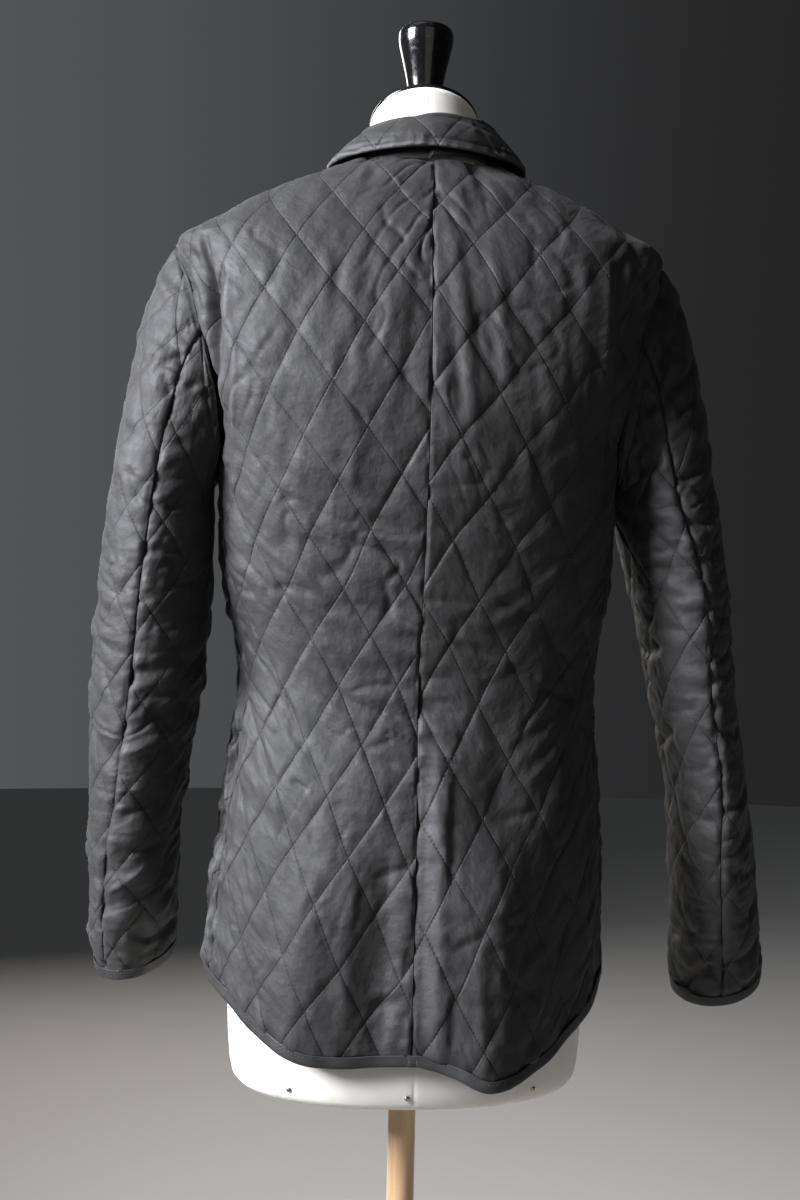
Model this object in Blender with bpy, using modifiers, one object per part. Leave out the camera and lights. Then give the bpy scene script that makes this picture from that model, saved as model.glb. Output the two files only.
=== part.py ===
# Quilted hip-length jacket, fastened on a limbless dress form with a beech stand.
# Metres, +Z up. The jacket's front faces -Y, and the wearer's left side is +X.
# The origin is on the floor, under the middle of the stand's base.

import math

import bmesh
import bpy
import numpy as np
from mathutils import Vector
from mathutils.bvhtree import BVHTree

# Cloth
CLOTH = 0.003  # outer cloth, thin wadding and backing, stitched together
STAND_CLOTH = 0.002  # collar stand, cloth and interlining
GAP = 0.0003  # clearance at every seam
SEAT = 0.0006  # clearance of a sleeve or collar seam, where two walls meet at an angle
BINDING_WIDTH = 0.008
BINDING_THICKNESS = 0.0042
BINDING_GAP = 0.0005
OVERLAP = 0.020  # each front passes the centre line by this much
OVERLAP_LIFT = 0.0048  # the right front lies this far outside the left one
LIFT_FROM = 0.052  # distances from the centre line between which the right front lifts
LIFT_TO = 0.026

# Body: horizontal rings of the jacket's outer face. Depths run from the side line (y = 0),
# square is the superellipse exponent, and a drop lowers the ring's back or front middle.
BODY_COLUMNS = (
    "height", "left", "right", "back", "front", "back_square", "front_square",
    "back_drop", "front_drop",
)
BODY_RINGS = (
    (0.640, 0.1635, 0.1580, 0.117, 0.108, 2.3, 2.2, 0.000, 0.000),
    (0.700, 0.1640, 0.1585, 0.119, 0.110, 2.3, 2.2, 0.000, 0.000),
    (0.780, 0.1605, 0.1580, 0.117, 0.111, 2.3, 2.2, 0.000, 0.000),
    (0.870, 0.1510, 0.1540, 0.108, 0.104, 2.3, 2.2, 0.000, 0.000),
    (0.960, 0.1405, 0.1470, 0.092, 0.094, 2.3, 2.2, 0.000, 0.000),
    (1.050, 0.1575, 0.1595, 0.101, 0.112, 2.4, 2.2, 0.000, 0.000),
    (1.130, 0.1605, 0.1605, 0.113, 0.132, 2.6, 2.2, 0.000, 0.000),
    (1.190, 0.1725, 0.1715, 0.117, 0.124, 2.8, 2.4, 0.000, 0.003),
    (1.250, 0.1860, 0.1850, 0.111, 0.100, 2.8, 2.5, 0.000, 0.010),
    (1.290, 0.1945, 0.1930, 0.098, 0.080, 2.7, 2.4, 0.000, 0.018),
    (1.305, 0.1970, 0.1955, 0.091, 0.072, 2.6, 2.4, 0.000, 0.022),
    (1.3245, 0.1685, 0.1685, 0.082, 0.067, 2.4, 2.2, 0.001, 0.035),
    (1.3515, 0.1227, 0.1227, 0.069, 0.063, 2.2, 2.1, 0.003, 0.055),
    (1.3760, 0.0660, 0.0660, 0.052, 0.058, 2.0, 2.0, 0.006, 0.070),
)
NECKLINE = 1.3760

# Hem height round the body, from the centre back (90) past the side (0) to the front (-90)
HEM_COLUMNS = ("angle", "left", "right")
HEM = (
    (-100.0, 0.702, 0.702),
    (-90.0, 0.702, 0.702),
    (-60.0, 0.708, 0.708),
    (-30.0, 0.727, 0.729),
    (0.0, 0.738, 0.741),
    (20.0, 0.731, 0.731),
    (33.0, 0.722, 0.712),
    (46.0, 0.704, 0.692),
    (58.0, 0.691, 0.680),
    (66.0, 0.686, 0.674),
    (74.0, 0.685, 0.672),
    (81.0, 0.686, 0.680),
    (90.0, 0.688, 0.688),
)

# Centre back seam: how far it hangs to the left of the middle at each height
CENTRE_SEAM_COLUMNS = ("height", "left")
CENTRE_SEAM = (
    (0.640, 0.0050), (0.780, 0.0035), (0.960, 0.0025), (1.070, 0.0004), (1.300, -0.0004),
    (1.376, -0.0040),
)

# Large soft folds and swells of the body: side is +1 left and -1 right, angles are round the
# ring, depth is outward, and foot is the share of the depth left at the lower end.
FOLD_COLUMNS = (
    "side", "top_angle", "top_height", "foot_angle", "foot_height", "half_angle", "depth", "foot",
)
FOLDS = (
    (1, 31.0, 1.300, 30.0, 1.180, 4.5, -0.0070, 0.0),
    (1, 22.0, 1.300, 27.0, 1.262, 3.5, -0.0040, 0.0),
    (-1, 34.0, 1.290, 30.0, 1.190, 4.5, -0.0075, 0.0),
    (-1, 72.0, 0.880, 73.5, 0.660, 9.0, 0.0160, 1.0),
    (1, 62.0, 0.850, 60.0, 0.660, 8.0, 0.0060, 1.0),
    (1, 80.0, 0.860, 82.0, 0.660, 6.0, -0.0040, 1.0),
    (-1, 46.0, 0.860, 44.0, 0.660, 8.0, -0.0060, 1.0),
    (1, -38.0, 1.270, -34.0, 1.170, 5.5, -0.0060, 0.0),
    (-1, -38.0, 1.270, -34.0, 1.170, 5.5, -0.0055, 0.0),
    (1, -55.0, 0.880, -52.0, 0.690, 9.0, 0.0050, 1.0),
    (-1, -50.0, 0.870, -54.0, 0.690, 9.0, 0.0055, 1.0),
)

# Side seam: its angle round the ring at each height
SIDE_SEAM_COLUMNS = ("height", "angle")
SIDE_SEAM = ((0.640, 19.0), (0.960, 19.0), (1.050, 16.5), (1.132, 13.1))

# Armhole, from the shoulder tip down the back, under the arm and up the front
ARMHOLE_COLUMNS = ("angle", "height")
ARMHOLE = (
    (0.0, 1.305),
    (7.6, 1.290),
    (15.2, 1.265),
    (19.3, 1.228),
    (20.3, 1.190),
    (18.4, 1.155),
    (13.1, 1.132),
    (0.7, 1.122),
    (-10.5, 1.127),
    (-18.7, 1.148),
    (-22.4, 1.180),
    (-23.6, 1.220),
    (-20.5, 1.260),
    (-11.4, 1.290),
)
ARMHOLE_STEPS = 2  # stations to each row of the armhole table
SIDE_ROW = 6  # armhole row where the side seam meets it
BACK_SEAM_ROW = 3  # rows where the two sleeve seams meet it
FRONT_SEAM_ROW = 10

# Sleeves: rings below the armhole, as seen when they hang. back_drop and outer_rise slope
# the ring's plane, and twist turns the seams round the arm.
SLEEVE_COLUMNS = (
    "height", "centre_x", "centre_y", "half_x", "half_y", "back_drop", "outer_rise", "twist",
)
SLEEVE_RINGS = {
    1: (
        (0.7330, 0.2222, -0.046, 0.0335, 0.048, 0.22, -0.20, -40.0),
        (0.7700, 0.2238, -0.037, 0.0352, 0.053, 0.21, -0.12, -35.0),
        (0.8160, 0.2239, -0.028, 0.0370, 0.058, 0.18, -0.05, -28.0),
        (0.8870, 0.2196, -0.017, 0.0400, 0.062, 0.12, 0.00, -16.0),
        (0.9600, 0.2135, -0.009, 0.0462, 0.064, 0.08, 0.00, -10.0),
        (1.0300, 0.2095, -0.003, 0.0455, 0.067, 0.02, 0.00, -6.0),
        (1.1000, 0.2062, 0.000, 0.0425, 0.066, 0.00, 0.00, 0.0),
    ),
    -1: (
        (0.7117, 0.2725, -0.051, 0.0370, 0.047, 0.22, 0.24, 13.0),
        (0.7680, 0.2667, -0.040, 0.0355, 0.054, 0.21, 0.20, 14.0),
        (0.8200, 0.2593, -0.030, 0.0330, 0.062, 0.18, 0.20, 15.0),
        (0.8890, 0.2488, -0.019, 0.0290, 0.069, 0.12, 0.20, 8.0),
        (0.9600, 0.2328, -0.009, 0.0320, 0.069, 0.08, 0.10, 0.0),
        (1.0300, 0.2210, -0.003, 0.0375, 0.068, 0.02, 0.03, -6.0),
        (1.1000, 0.2058, 0.000, 0.0422, 0.066, 0.00, 0.00, 5.0),
    ),
}
BICEP = 1.100  # height of the first full ring
CAP_ROWS = (0.0, 0.07, 0.18, 0.34, 0.55, 0.78)  # shares of the way from armhole to bicep
ARM_ROWS = 8
ROUND_THE_ARM = ((0, 0.0), (3, 88.0), (7, 180.0), (10, 255.0), (14, 360.0))  # armhole row, degrees

# Collar: closed curves about the neck, cut open at the front
COLLAR_FOLD = (0.0532, 0.0460, 0.0520)  # half width, back, front
COLLAR_EDGE = (0.0815, 0.0615, 0.0850)
FOLD_HEIGHT = ((-90, 1.335), (-45, 1.372), (0, 1.4025), (45, 1.4065), (90, 1.408))
FOLD_TILT = 0.055  # the fold line rises towards the right
COLLAR_SHIFT = 0.003  # and the whole collar hangs a little to the right
EDGE_HEIGHT = (
    (-90, 1.300), (-66, 1.306), (-45, 1.330), (-20, 1.366), (0, 1.3748), (20, 1.3752),
    (45, 1.3765), (90, 1.3795),
)
COLLAR_STEPS = 14  # on each side of the nape
FOLD_END = -85.0
EDGE_END = -64.0
FOLD_RADIUS = 0.0034  # of the bend's outer face
FOLD_LEG = 0.0026  # the fall's short inner side, down to the stand
FALL_BELLY = 0.0030

# Press studs down the centre front
SNAP_HEIGHTS = (0.800, 0.905, 1.010, 1.115, 1.220)
SNAP_RADIUS = 0.0075
SNAP_THICKNESS = 0.0030

# Dress form: rings from the flat underside to the slanted neck top. lean raises the back.
FORM_COLUMNS = ("height", "half_width", "back", "front", "square", "lean")
FORM_RINGS = (
    (0.6390, 0.1290, 0.0900, 0.0870, 2.2, 0.00),
    (0.6410, 0.1345, 0.0955, 0.0925, 2.2, 0.00),
    (0.6460, 0.1385, 0.0995, 0.0965, 2.2, 0.00),
    (0.6560, 0.1408, 0.1020, 0.0985, 2.2, 0.00),
    (0.6750, 0.1425, 0.1035, 0.1000, 2.2, 0.00),
    (0.7800, 0.1455, 0.1040, 0.0990, 2.2, 0.00),
    (0.8700, 0.1385, 0.0950, 0.0920, 2.2, 0.00),
    (0.9550, 0.1285, 0.0790, 0.0810, 2.2, 0.00),
    (1.0450, 0.1430, 0.0890, 0.0980, 2.3, 0.00),
    (1.1250, 0.1485, 0.1000, 0.1180, 2.4, 0.00),
    (1.1800, 0.1570, 0.1030, 0.1080, 2.5, 0.00),
    (1.2400, 0.1710, 0.0970, 0.0840, 2.5, 0.02),
    (1.2740, 0.1800, 0.0850, 0.0640, 2.5, 0.06),
    (1.2900, 0.1800, 0.0780, 0.0550, 2.4, 0.10),
    (1.3085, 0.1570, 0.0690, 0.0480, 2.3, 0.14),
    (1.3375, 0.1070, 0.0550, 0.0430, 2.1, 0.22),
    (1.3580, 0.0700, 0.0450, 0.0400, 2.0, 0.32),
    (1.3730, 0.0525, 0.0400, 0.0390, 2.0, 0.42),
    (1.3900, 0.0455, 0.0380, 0.0385, 2.0, 0.52),
    (1.4100, 0.0440, 0.0370, 0.0385, 2.0, 0.577),
)
FORM_SIDES = 40
FORM_LEVELS = 26
NECK_TILT = math.radians(30)  # the neck top slopes down to the front
CAP_RADIUS = 0.0445
CAP_THICKNESS = 0.0040
CAP_EDGE = 0.0012
KNOB_PROFILE = (  # radius, height; the slanted cap cuts its foot
    (0.0000, 1.4930), (0.0120, 1.4926), (0.0185, 1.4910), (0.0212, 1.4885), (0.0222, 1.4850),
    (0.0221, 1.4810), (0.0200, 1.4700), (0.0172, 1.4580), (0.0148, 1.4460), (0.0132, 1.4340),
    (0.0130, 1.4240), (0.0140, 1.4160), (0.0150, 1.4000), (0.0000, 1.4000),
)
TURNED_STEPS = 32

PIN_RADIUS = 0.0023
PIN_HEIGHT = 0.0016
PIN_LEVEL = 0.6512
PIN_ANGLES = (88.5, 50.0, 130.0, -90.0, -50.0, -130.0)

POLE_RADIUS = 0.0111
BASE_PROFILE = (  # radius, height
    (0.0000, 0.0450), (0.0200, 0.0450), (0.0240, 0.0425), (0.0260, 0.0360), (0.0330, 0.0290),
    (0.0600, 0.0250), (0.1700, 0.0200), (0.1780, 0.0165), (0.1800, 0.0110), (0.1800, 0.0040),
    (0.1760, 0.0000), (0.0000, 0.0000),
)
BASE_TOP = 0.0450
BASE_STEPS = 64

# Panel grids: rows from the hem to the waist, the waist to the underarm, and over the shoulder
WAIST = 0.960
BACK_COLUMNS = 11
FRONT_COLUMNS = 10
HIP_ROWS = 6
WAIST_ROWS = 5
SHOULDER_ROWS = 3
UNDERARM_CENTRE = 1.132  # height on the centre line of the row that meets the underarm
TIP_CENTRE = 1.318  # height on the centre line of the row that meets the shoulder tip

BLACK_CLOTH = ("quilted_cloth", (0.020, 0.019, 0.021), 0.55, 0.0)
BLACK_TRIM = ("binding_cloth", (0.016, 0.015, 0.017), 0.60, 0.0)
SNAP_METAL = ("snap_metal", (0.030, 0.030, 0.032), 0.35, 1.0)
WHITE_JERSEY = ("form_jersey", (0.80, 0.78, 0.74), 0.85, 0.0)
BLACK_LACQUER = ("black_lacquer", (0.010, 0.010, 0.010), 0.12, 0.0)
BEECH = ("beech", (0.58, 0.41, 0.26), 0.45, 0.0)
PIN_STEEL = ("pin_steel", (0.45, 0.44, 0.42), 0.30, 1.0)


def smooth_through(places, values, at):
    """Monotone cubic through a table's rows, which never bulges past them."""
    places = np.asarray(places, float)
    values = np.asarray(values, float)
    steps = np.diff(places)
    rises = np.diff(values) / steps
    slopes = np.zeros_like(values)
    slopes[0] = rises[0]
    slopes[-1] = rises[-1]
    for i in range(1, len(values) - 1):
        if rises[i - 1] * rises[i] > 0:
            before = 2 * steps[i] + steps[i - 1]
            after = steps[i] + 2 * steps[i - 1]
            slopes[i] = (before + after) / (before / rises[i - 1] + after / rises[i])
    at = np.clip(np.asarray(at, float), places[0], places[-1])
    row = np.clip(np.searchsorted(places, at, side="right") - 1, 0, len(steps) - 1)
    t = (at - places[row]) / steps[row]
    return (
        (1 + 2 * t) * (1 - t) ** 2 * values[row]
        + t * (1 - t) ** 2 * steps[row] * slopes[row]
        + t * t * (3 - 2 * t) * values[row + 1]
        + t * t * (t - 1) * steps[row] * slopes[row + 1]
    )


def column(table, names, name, at):
    rows = np.asarray(table, float)
    return smooth_through(rows[:, 0], rows[:, names.index(name)], at)


def ease(t):
    t = np.clip(t, 0, 1)
    return t * t * (3 - 2 * t)


def unit(vectors):
    return vectors / np.maximum(np.linalg.norm(vectors, axis=-1, keepdims=True), 1e-12)


def superellipse(angle, half_width, back, front, square):
    """x, y and the sine at an angle round a ring: 90 is the back, 0 the side, -90 the front."""
    cosine = np.cos(np.radians(angle))
    sine = np.sin(np.radians(angle))
    depth = np.where(sine >= 0, back, front)
    x = half_width * np.sign(cosine) * np.abs(cosine) ** (2 / square)
    y = depth * np.sign(sine) * np.abs(sine) ** (2 / square)
    return x, y, sine


def fold_depth(side, angle, height):
    """How far the large folds push the body's surface outward."""
    total = np.zeros(np.broadcast(angle, height).shape)
    # Past the centre line a point belongs to the other side's folds.
    own_side = np.where(np.abs(angle) > 90, -side, side)
    own_angle = np.where(np.abs(angle) > 90, np.sign(angle) * 180 - angle, angle)
    for fold in FOLDS:
        row = dict(zip(FOLD_COLUMNS, fold))
        along = (row["top_height"] - height) / (row["top_height"] - row["foot_height"])
        centre = row["top_angle"] + (row["foot_angle"] - row["top_angle"]) * along
        offset = own_angle - centre
        # The same fold seen from the other side of the centre back or front line
        mirrored = np.sign(row["top_angle"]) * 180 - own_angle - centre
        offset = np.where(own_side == row["side"], offset, mirrored)
        across = np.exp(-((offset / row["half_angle"]) ** 2))
        start = ease(along * 2.5)
        end = row["foot"] + (1 - row["foot"]) * ease((1 - along) * 2.5)
        total = total + row["depth"] * across * start * end
    return total


def smooth_body(side, angle, height):
    """A point of the body's outer face, before the folds."""
    values = {name: column(BODY_RINGS, BODY_COLUMNS, name, height) for name in BODY_COLUMNS[1:]}
    behind = np.asarray(angle) >= 0
    square = np.where(behind, values["back_square"], values["front_square"])
    is_left = side * np.cos(np.radians(angle)) >= 0
    half_width = np.where(is_left, values["left"], values["right"])
    x, y, sine = superellipse(angle, half_width, values["back"], values["front"], square)
    drop = np.where(behind, values["back_drop"], values["front_drop"])
    return np.stack([side * x, y, height - drop * sine**2], axis=-1)


def body(side, angle, height):
    """Points and outward normals of the body's outer face."""
    angle, height = np.broadcast_arrays(np.asarray(angle, float), np.asarray(height, float))
    step_angle, step_height = 0.8, 0.0015
    round_it = smooth_body(side, angle + step_angle, height) - smooth_body(
        side, angle - step_angle, height
    )
    up = smooth_body(side, angle, np.minimum(height + step_height, NECKLINE)) - smooth_body(
        side, angle, height - step_height
    )
    normal = side * unit(np.cross(round_it, up))
    point = smooth_body(side, angle, height) + normal * fold_depth(side, angle, height)[..., None]
    return point, normal


def angle_of(side, is_back, distance, height):
    """Angle round the body's ring of a place at a distance from the centre line."""
    name = "left" if side * distance > 0 else "right"
    half_width = column(BODY_RINGS, BODY_COLUMNS, name, height)
    square = column(BODY_RINGS, BODY_COLUMNS, "back_square" if is_back else "front_square", height)
    from_middle = math.degrees(math.asin((abs(distance) / half_width) ** (square / 2)))
    angle = 90 - math.copysign(from_middle, distance)
    return angle if is_back else -angle


def lap_share(inside):
    """How much of its lift the right front has at a distance from the centre line."""
    return ease((LIFT_FROM - inside) / (LIFT_FROM - LIFT_TO))


def hem_height(side, angle):
    rows = np.asarray(HEM)
    at = np.where(angle > 90, 180 - angle, angle)
    return smooth_through(rows[:, 0], rows[:, 1 if side > 0 else 2], at)


def armhole(stations):
    """Angle and height at places round the closed armhole table, 0 at the shoulder tip."""
    rows = np.asarray(ARMHOLE)
    stations = np.asarray(stations, float)
    row = np.floor(stations).astype(int)
    t = (stations - row)[:, None]
    before, first, second, after = (rows[(row + k) % len(rows)] for k in (-1, 0, 1, 2))
    point = 0.5 * (
        2 * first
        + (second - before) * t
        + (2 * before - 5 * first + 4 * second - after) * t**2
        + (3 * first - before - 3 * second + after) * t**3
    )
    return point[:, 0], point[:, 1]


def panel_rows(is_back):
    """Per row of a panel: share of the way up from hem to waist, centre height, edge angle, edge height."""
    rows = [(share, WAIST, None, WAIST) for share in np.linspace(0, 1, HIP_ROWS + 1)]
    for share in np.linspace(0, 1, WAIST_ROWS + 1)[1:-1]:
        centre = WAIST + share * (UNDERARM_CENTRE - WAIST)
        edge = WAIST + share * (ARMHOLE[SIDE_ROW][1] - WAIST)
        rows.append((1.0, centre, None, edge))
    last = 0 if is_back else len(ARMHOLE)
    count = abs(SIDE_ROW - last) * ARMHOLE_STEPS
    angles, heights = armhole(np.linspace(SIDE_ROW, last, count + 1))
    centres = np.linspace(UNDERARM_CENTRE, TIP_CENTRE, count + 1)
    rows += [(1.0, c, a, h) for c, a, h in zip(centres, angles, heights)]
    for share in np.linspace(0, 1, SHOULDER_ROWS + 1)[1:]:
        centre = TIP_CENTRE + share * (NECKLINE - TIP_CENTRE)
        edge = ARMHOLE[0][1] + share * (NECKLINE - ARMHOLE[0][1])
        rows.append((1.0, centre, 0.0, edge))
    return rows


def panel_grid(side, is_back, columns, lift=0.0):
    """Outer points and normals of a panel, from the hem up and from the centre line outwards."""
    places = np.linspace(0, 1, columns + 1)
    fine = np.linspace(0, 1, 160)
    points, normals = [], []
    for share, centre_height, edge_angle, edge_height in panel_rows(is_back):
        on_seam = edge_angle is None or edge_angle == 0.0 or edge_height == ARMHOLE[SIDE_ROW][1]
        if edge_angle is None:
            edge_angle = float(column(SIDE_SEAM, SIDE_SEAM_COLUMNS, "angle", edge_height))
        hem = float(hem_height(side, 90.0 if is_back else -90.0))
        on_centre = hem + (centre_height - hem) * share
        inset = -OVERLAP
        if is_back:
            inset = side * float(column(CENTRE_SEAM, CENTRE_SEAM_COLUMNS, "left", on_centre))
        centre_angle = angle_of(side, is_back, inset, on_centre)
        angle = centre_angle + (edge_angle - centre_angle) * fine
        height = centre_height + (edge_height - centre_height) * fine**2
        low = hem_height(side, angle)
        height = low + (height - low) * share if share < 1 else height
        line, normal = body(side, angle, height)
        length = np.concatenate([[0], np.cumsum(np.linalg.norm(np.diff(line, axis=0), axis=1))])
        start = GAP / 2 if is_back else 0.0
        end = length[-1] - (GAP / 2 if on_seam else 0.0)
        at = start + (end - start) * places
        line = np.stack([np.interp(at, length, line[:, k]) for k in range(3)], axis=1)
        normal = unit(np.stack([np.interp(at, length, normal[:, k]) for k in range(3)], axis=1))
        inside = side * line[:, 0]
        points.append(line + normal * (lift * lap_share(inside))[:, None])
        normals.append(normal)
    return np.array(points), np.array(normals)


def sleeve_ring(side, angle, height):
    """A point of a hanging sleeve below the armhole: angle 0 is outermost and 90 the back."""
    rows = SLEEVE_RINGS[side]
    ring = {name: column(rows, SLEEVE_COLUMNS, name, height) for name in SLEEVE_COLUMNS[1:]}
    turn = np.radians(angle + ring["twist"])
    out = ring["half_x"] * np.cos(turn)
    back = ring["half_y"] * np.sin(turn)
    x = side * (ring["centre_x"] + out)
    z = height - ring["back_drop"] * back + ring["outer_rise"] * out
    return np.stack(np.broadcast_arrays(x, ring["centre_y"] + back, z), axis=-1)


def sleeve_grid(side):
    """Outer points and normals of a whole sleeve, a column for each armhole station."""
    count = len(ARMHOLE) * ARMHOLE_STEPS
    stations = np.arange(count + 1) / ARMHOLE_STEPS
    rows, degrees = zip(*ROUND_THE_ARM)
    turn = np.interp(stations, rows, degrees)
    angles, heights = armhole(stations)
    start, body_normal = body(side, angles, heights)
    end = sleeve_ring(side, turn, BICEP)
    below = sleeve_ring(side, turn, BICEP - 0.01)
    span = end - start
    length = np.linalg.norm(span, axis=1, keepdims=True)
    # The cap leaves the armhole outwards at the shoulder and straight down under the arm.
    outward = (0.5 + 0.5 * np.cos(np.radians(turn)))[:, None]
    leave = unit(unit(span) + (0.30 + 0.65 * outward) * np.array([side, 0.0, 0.0]))
    arrive = unit(below - end)
    start = start + leave * SEAT + body_normal * SEAT * (1 - outward)
    reach = np.minimum(0.55 * length, 0.10)
    grid = []
    for t in CAP_ROWS:
        grid.append(
            (1 + 2 * t) * (1 - t) ** 2 * start
            + t * (1 - t) ** 2 * reach * leave
            + t * t * (3 - 2 * t) * end
            - t * t * (1 - t) * length * 0.8 * arrive
        )
    cuff = SLEEVE_RINGS[side][0][0]
    for height in np.linspace(BICEP, cuff, ARM_ROWS + 1):
        grid.append(sleeve_ring(side, turn, height))
    grid = np.array(grid)
    across = np.roll(grid[:, :-1], -1, axis=1) - np.roll(grid[:, :-1], 1, axis=1)
    across = np.concatenate([across, across[:, :1]], axis=1)
    along = np.gradient(grid, axis=0)
    normals = side * unit(np.cross(along, across))
    # At the shoulder the cap's first ring shares the body's slope, so the two walls meet square.
    share = np.clip(np.sum(normals[0] * body_normal, axis=1), 0, 1)[:, None]
    normals[0] = unit(normals[0] + share * 3 * body_normal)
    return grid, normals


def sleeve_part(grid, normals, columns):
    """One piece of a sleeve, its two long edges drawn in by half a seam gap."""
    points = grid[:, columns].copy()
    for edge, inner in ((0, 1), (-1, -2)):
        points[:, edge] += unit(points[:, inner] - points[:, edge]) * GAP / 2
    return points, normals[:, columns]


def collect(name):
    collection = bpy.data.collections.new(name)
    bpy.context.scene.collection.children.link(collection)
    return collection


def material(finish):
    name, colour, roughness, metallic = finish
    found = bpy.data.materials.get(name)
    if found:
        return found
    made = bpy.data.materials.new(name)
    made.use_nodes = True
    shader = made.node_tree.nodes["Principled BSDF"]
    shader.inputs["Base Color"].default_value = (*colour, 1.0)
    shader.inputs["Roughness"].default_value = roughness
    shader.inputs["Metallic"].default_value = metallic
    made.diffuse_color = (*colour, 1.0)
    return made


def add_object(name, mesh, finish, collection):
    mesh.materials.append(material(finish))
    mesh.shade_smooth()
    piece = bpy.data.objects.new(name, mesh)
    collection.objects.link(piece)
    return piece


def mesh_of(name, points, faces):
    """A mesh whose faces all point outwards."""
    mesh = bpy.data.meshes.new(name)
    mesh.from_pydata([tuple(p) for p in points], [], faces)
    shell = bmesh.new()
    shell.from_mesh(mesh)
    bmesh.ops.recalc_face_normals(shell, faces=shell.faces)
    bmesh.ops.triangulate(shell, faces=shell.faces)
    shell.to_mesh(mesh)
    shell.free()
    return mesh


def cloth_wall(name, outer, normals, thickness, finish, collection):
    """A sheet of cloth: an outer and an inner face through the same grid, closed at its edges."""
    rows, columns = outer.shape[:2]
    inner = outer - normals * thickness
    points = np.concatenate([outer.reshape(-1, 3), inner.reshape(-1, 3)])
    offset = rows * columns
    faces = []
    for r in range(rows - 1):
        for c in range(columns - 1):
            first = r * columns + c
            quad = (first, first + 1, first + columns + 1, first + columns)
            faces.append(quad)
            faces.append(tuple(offset + v for v in reversed(quad)))
    rim = [c for c in range(columns)]
    rim += [r * columns + columns - 1 for r in range(1, rows)]
    rim += [(rows - 1) * columns + c for c in range(columns - 2, -1, -1)]
    rim += [r * columns for r in range(rows - 2, 0, -1)]
    for first, second in zip(rim, rim[1:] + rim[:1]):
        faces.append((second, first, offset + first, offset + second))
    return add_object(name, mesh_of(name, points, faces), finish, collection)


def binding(name, edge, normals, closed, collection):
    """A folded strip sewn round an edge: a rounded bar below the edge's points."""
    if closed:
        tangent = np.roll(edge, -1, axis=0) - np.roll(edge, 1, axis=0)
    else:
        tangent = np.gradient(edge, axis=0)
    down = unit(np.cross(normals, tangent))
    down = down * np.where(down[:, 2:] > 0, -1, 1)
    half = BINDING_THICKNESS / 2
    section = (  # out from the wall's middle, down from the edge
        (-half, BINDING_GAP), (half, BINDING_GAP), (half, BINDING_WIDTH * 0.75),
        (half * 0.5, BINDING_WIDTH), (-half * 0.5, BINDING_WIDTH), (-half, BINDING_WIDTH * 0.75),
    )
    middle = edge - normals * CLOTH / 2
    rings = [
        [p + n * out + d * low for out, low in section] for p, n, d in zip(middle, normals, down)
    ]
    count, sides = len(rings), len(section)
    points = [p for ring in rings for p in ring]
    faces = []
    for i in range(count if closed else count - 1):
        a, b = i * sides, (i + 1) % count * sides
        for k in range(sides):
            faces.append((a + k, a + (k + 1) % sides, b + (k + 1) % sides, b + k))
    if not closed:
        faces.append(tuple(range(sides)))
        faces.append(tuple((count - 1) * sides + k for k in range(sides)))
    return add_object(name, mesh_of(name, points, faces), BLACK_TRIM, collection)


def add_panels(collection):
    """The four body panels, and their hem edges in order from front right to front left."""
    panels = {
        "front_right": (-1, False, FRONT_COLUMNS, OVERLAP_LIFT),
        "back_right": (-1, True, BACK_COLUMNS, 0.0),
        "back_left": (1, True, BACK_COLUMNS, 0.0),
        "front_left": (1, False, FRONT_COLUMNS, 0.0),
    }
    edges = []
    for name, (side, is_back, columns, lift) in panels.items():
        points, normals = panel_grid(side, is_back, columns, lift)
        cloth_wall(name, points, normals, CLOTH, BLACK_CLOTH, collection)
        order = slice(None) if name in ("front_right", "back_left") else slice(None, None, -1)
        edges.append((points[0][order], normals[0][order]))
    return edges


def add_hem_binding(edges, collection):
    points, normals = edges[0]
    for more in edges[1:]:
        # Neighbouring panels share the seam's point.
        points = np.concatenate([points[:-1], (points[-1:] + more[0][:1]) / 2, more[0][1:]])
        normals = np.concatenate([normals[:-1], unit(normals[-1:] + more[1][:1]), more[1][1:]])
    binding("hem_binding", points, normals, False, collection)


def add_sleeves(collection):
    count = len(ARMHOLE) * ARMHOLE_STEPS
    back_seam = BACK_SEAM_ROW * ARMHOLE_STEPS
    front_seam = FRONT_SEAM_ROW * ARMHOLE_STEPS
    upper = [k % count for k in range(front_seam, count + back_seam + 1)]
    under = list(range(back_seam, front_seam + 1))
    for side, where in ((1, "left"), (-1, "right")):
        grid, normals = sleeve_grid(side)
        for name, columns in (("sleeve_upper_", upper), ("sleeve_under_", under)):
            points, facing = sleeve_part(grid, normals, columns)
            cloth_wall(name + where, points, facing, CLOTH, BLACK_CLOTH, collection)
        binding("cuff_binding_" + where, grid[-1][:-1], normals[-1][:-1], True, collection)


def neck_curve(sizes, angle, height):
    half_width, back, front = sizes
    x, y, _ = superellipse(angle, half_width, back, front, 2.0)
    return np.stack([x, y, height], axis=-1)


def height_round_neck(table, angle):
    return smooth_through([row[0] for row in table], [row[1] for row in table], angle)


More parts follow.
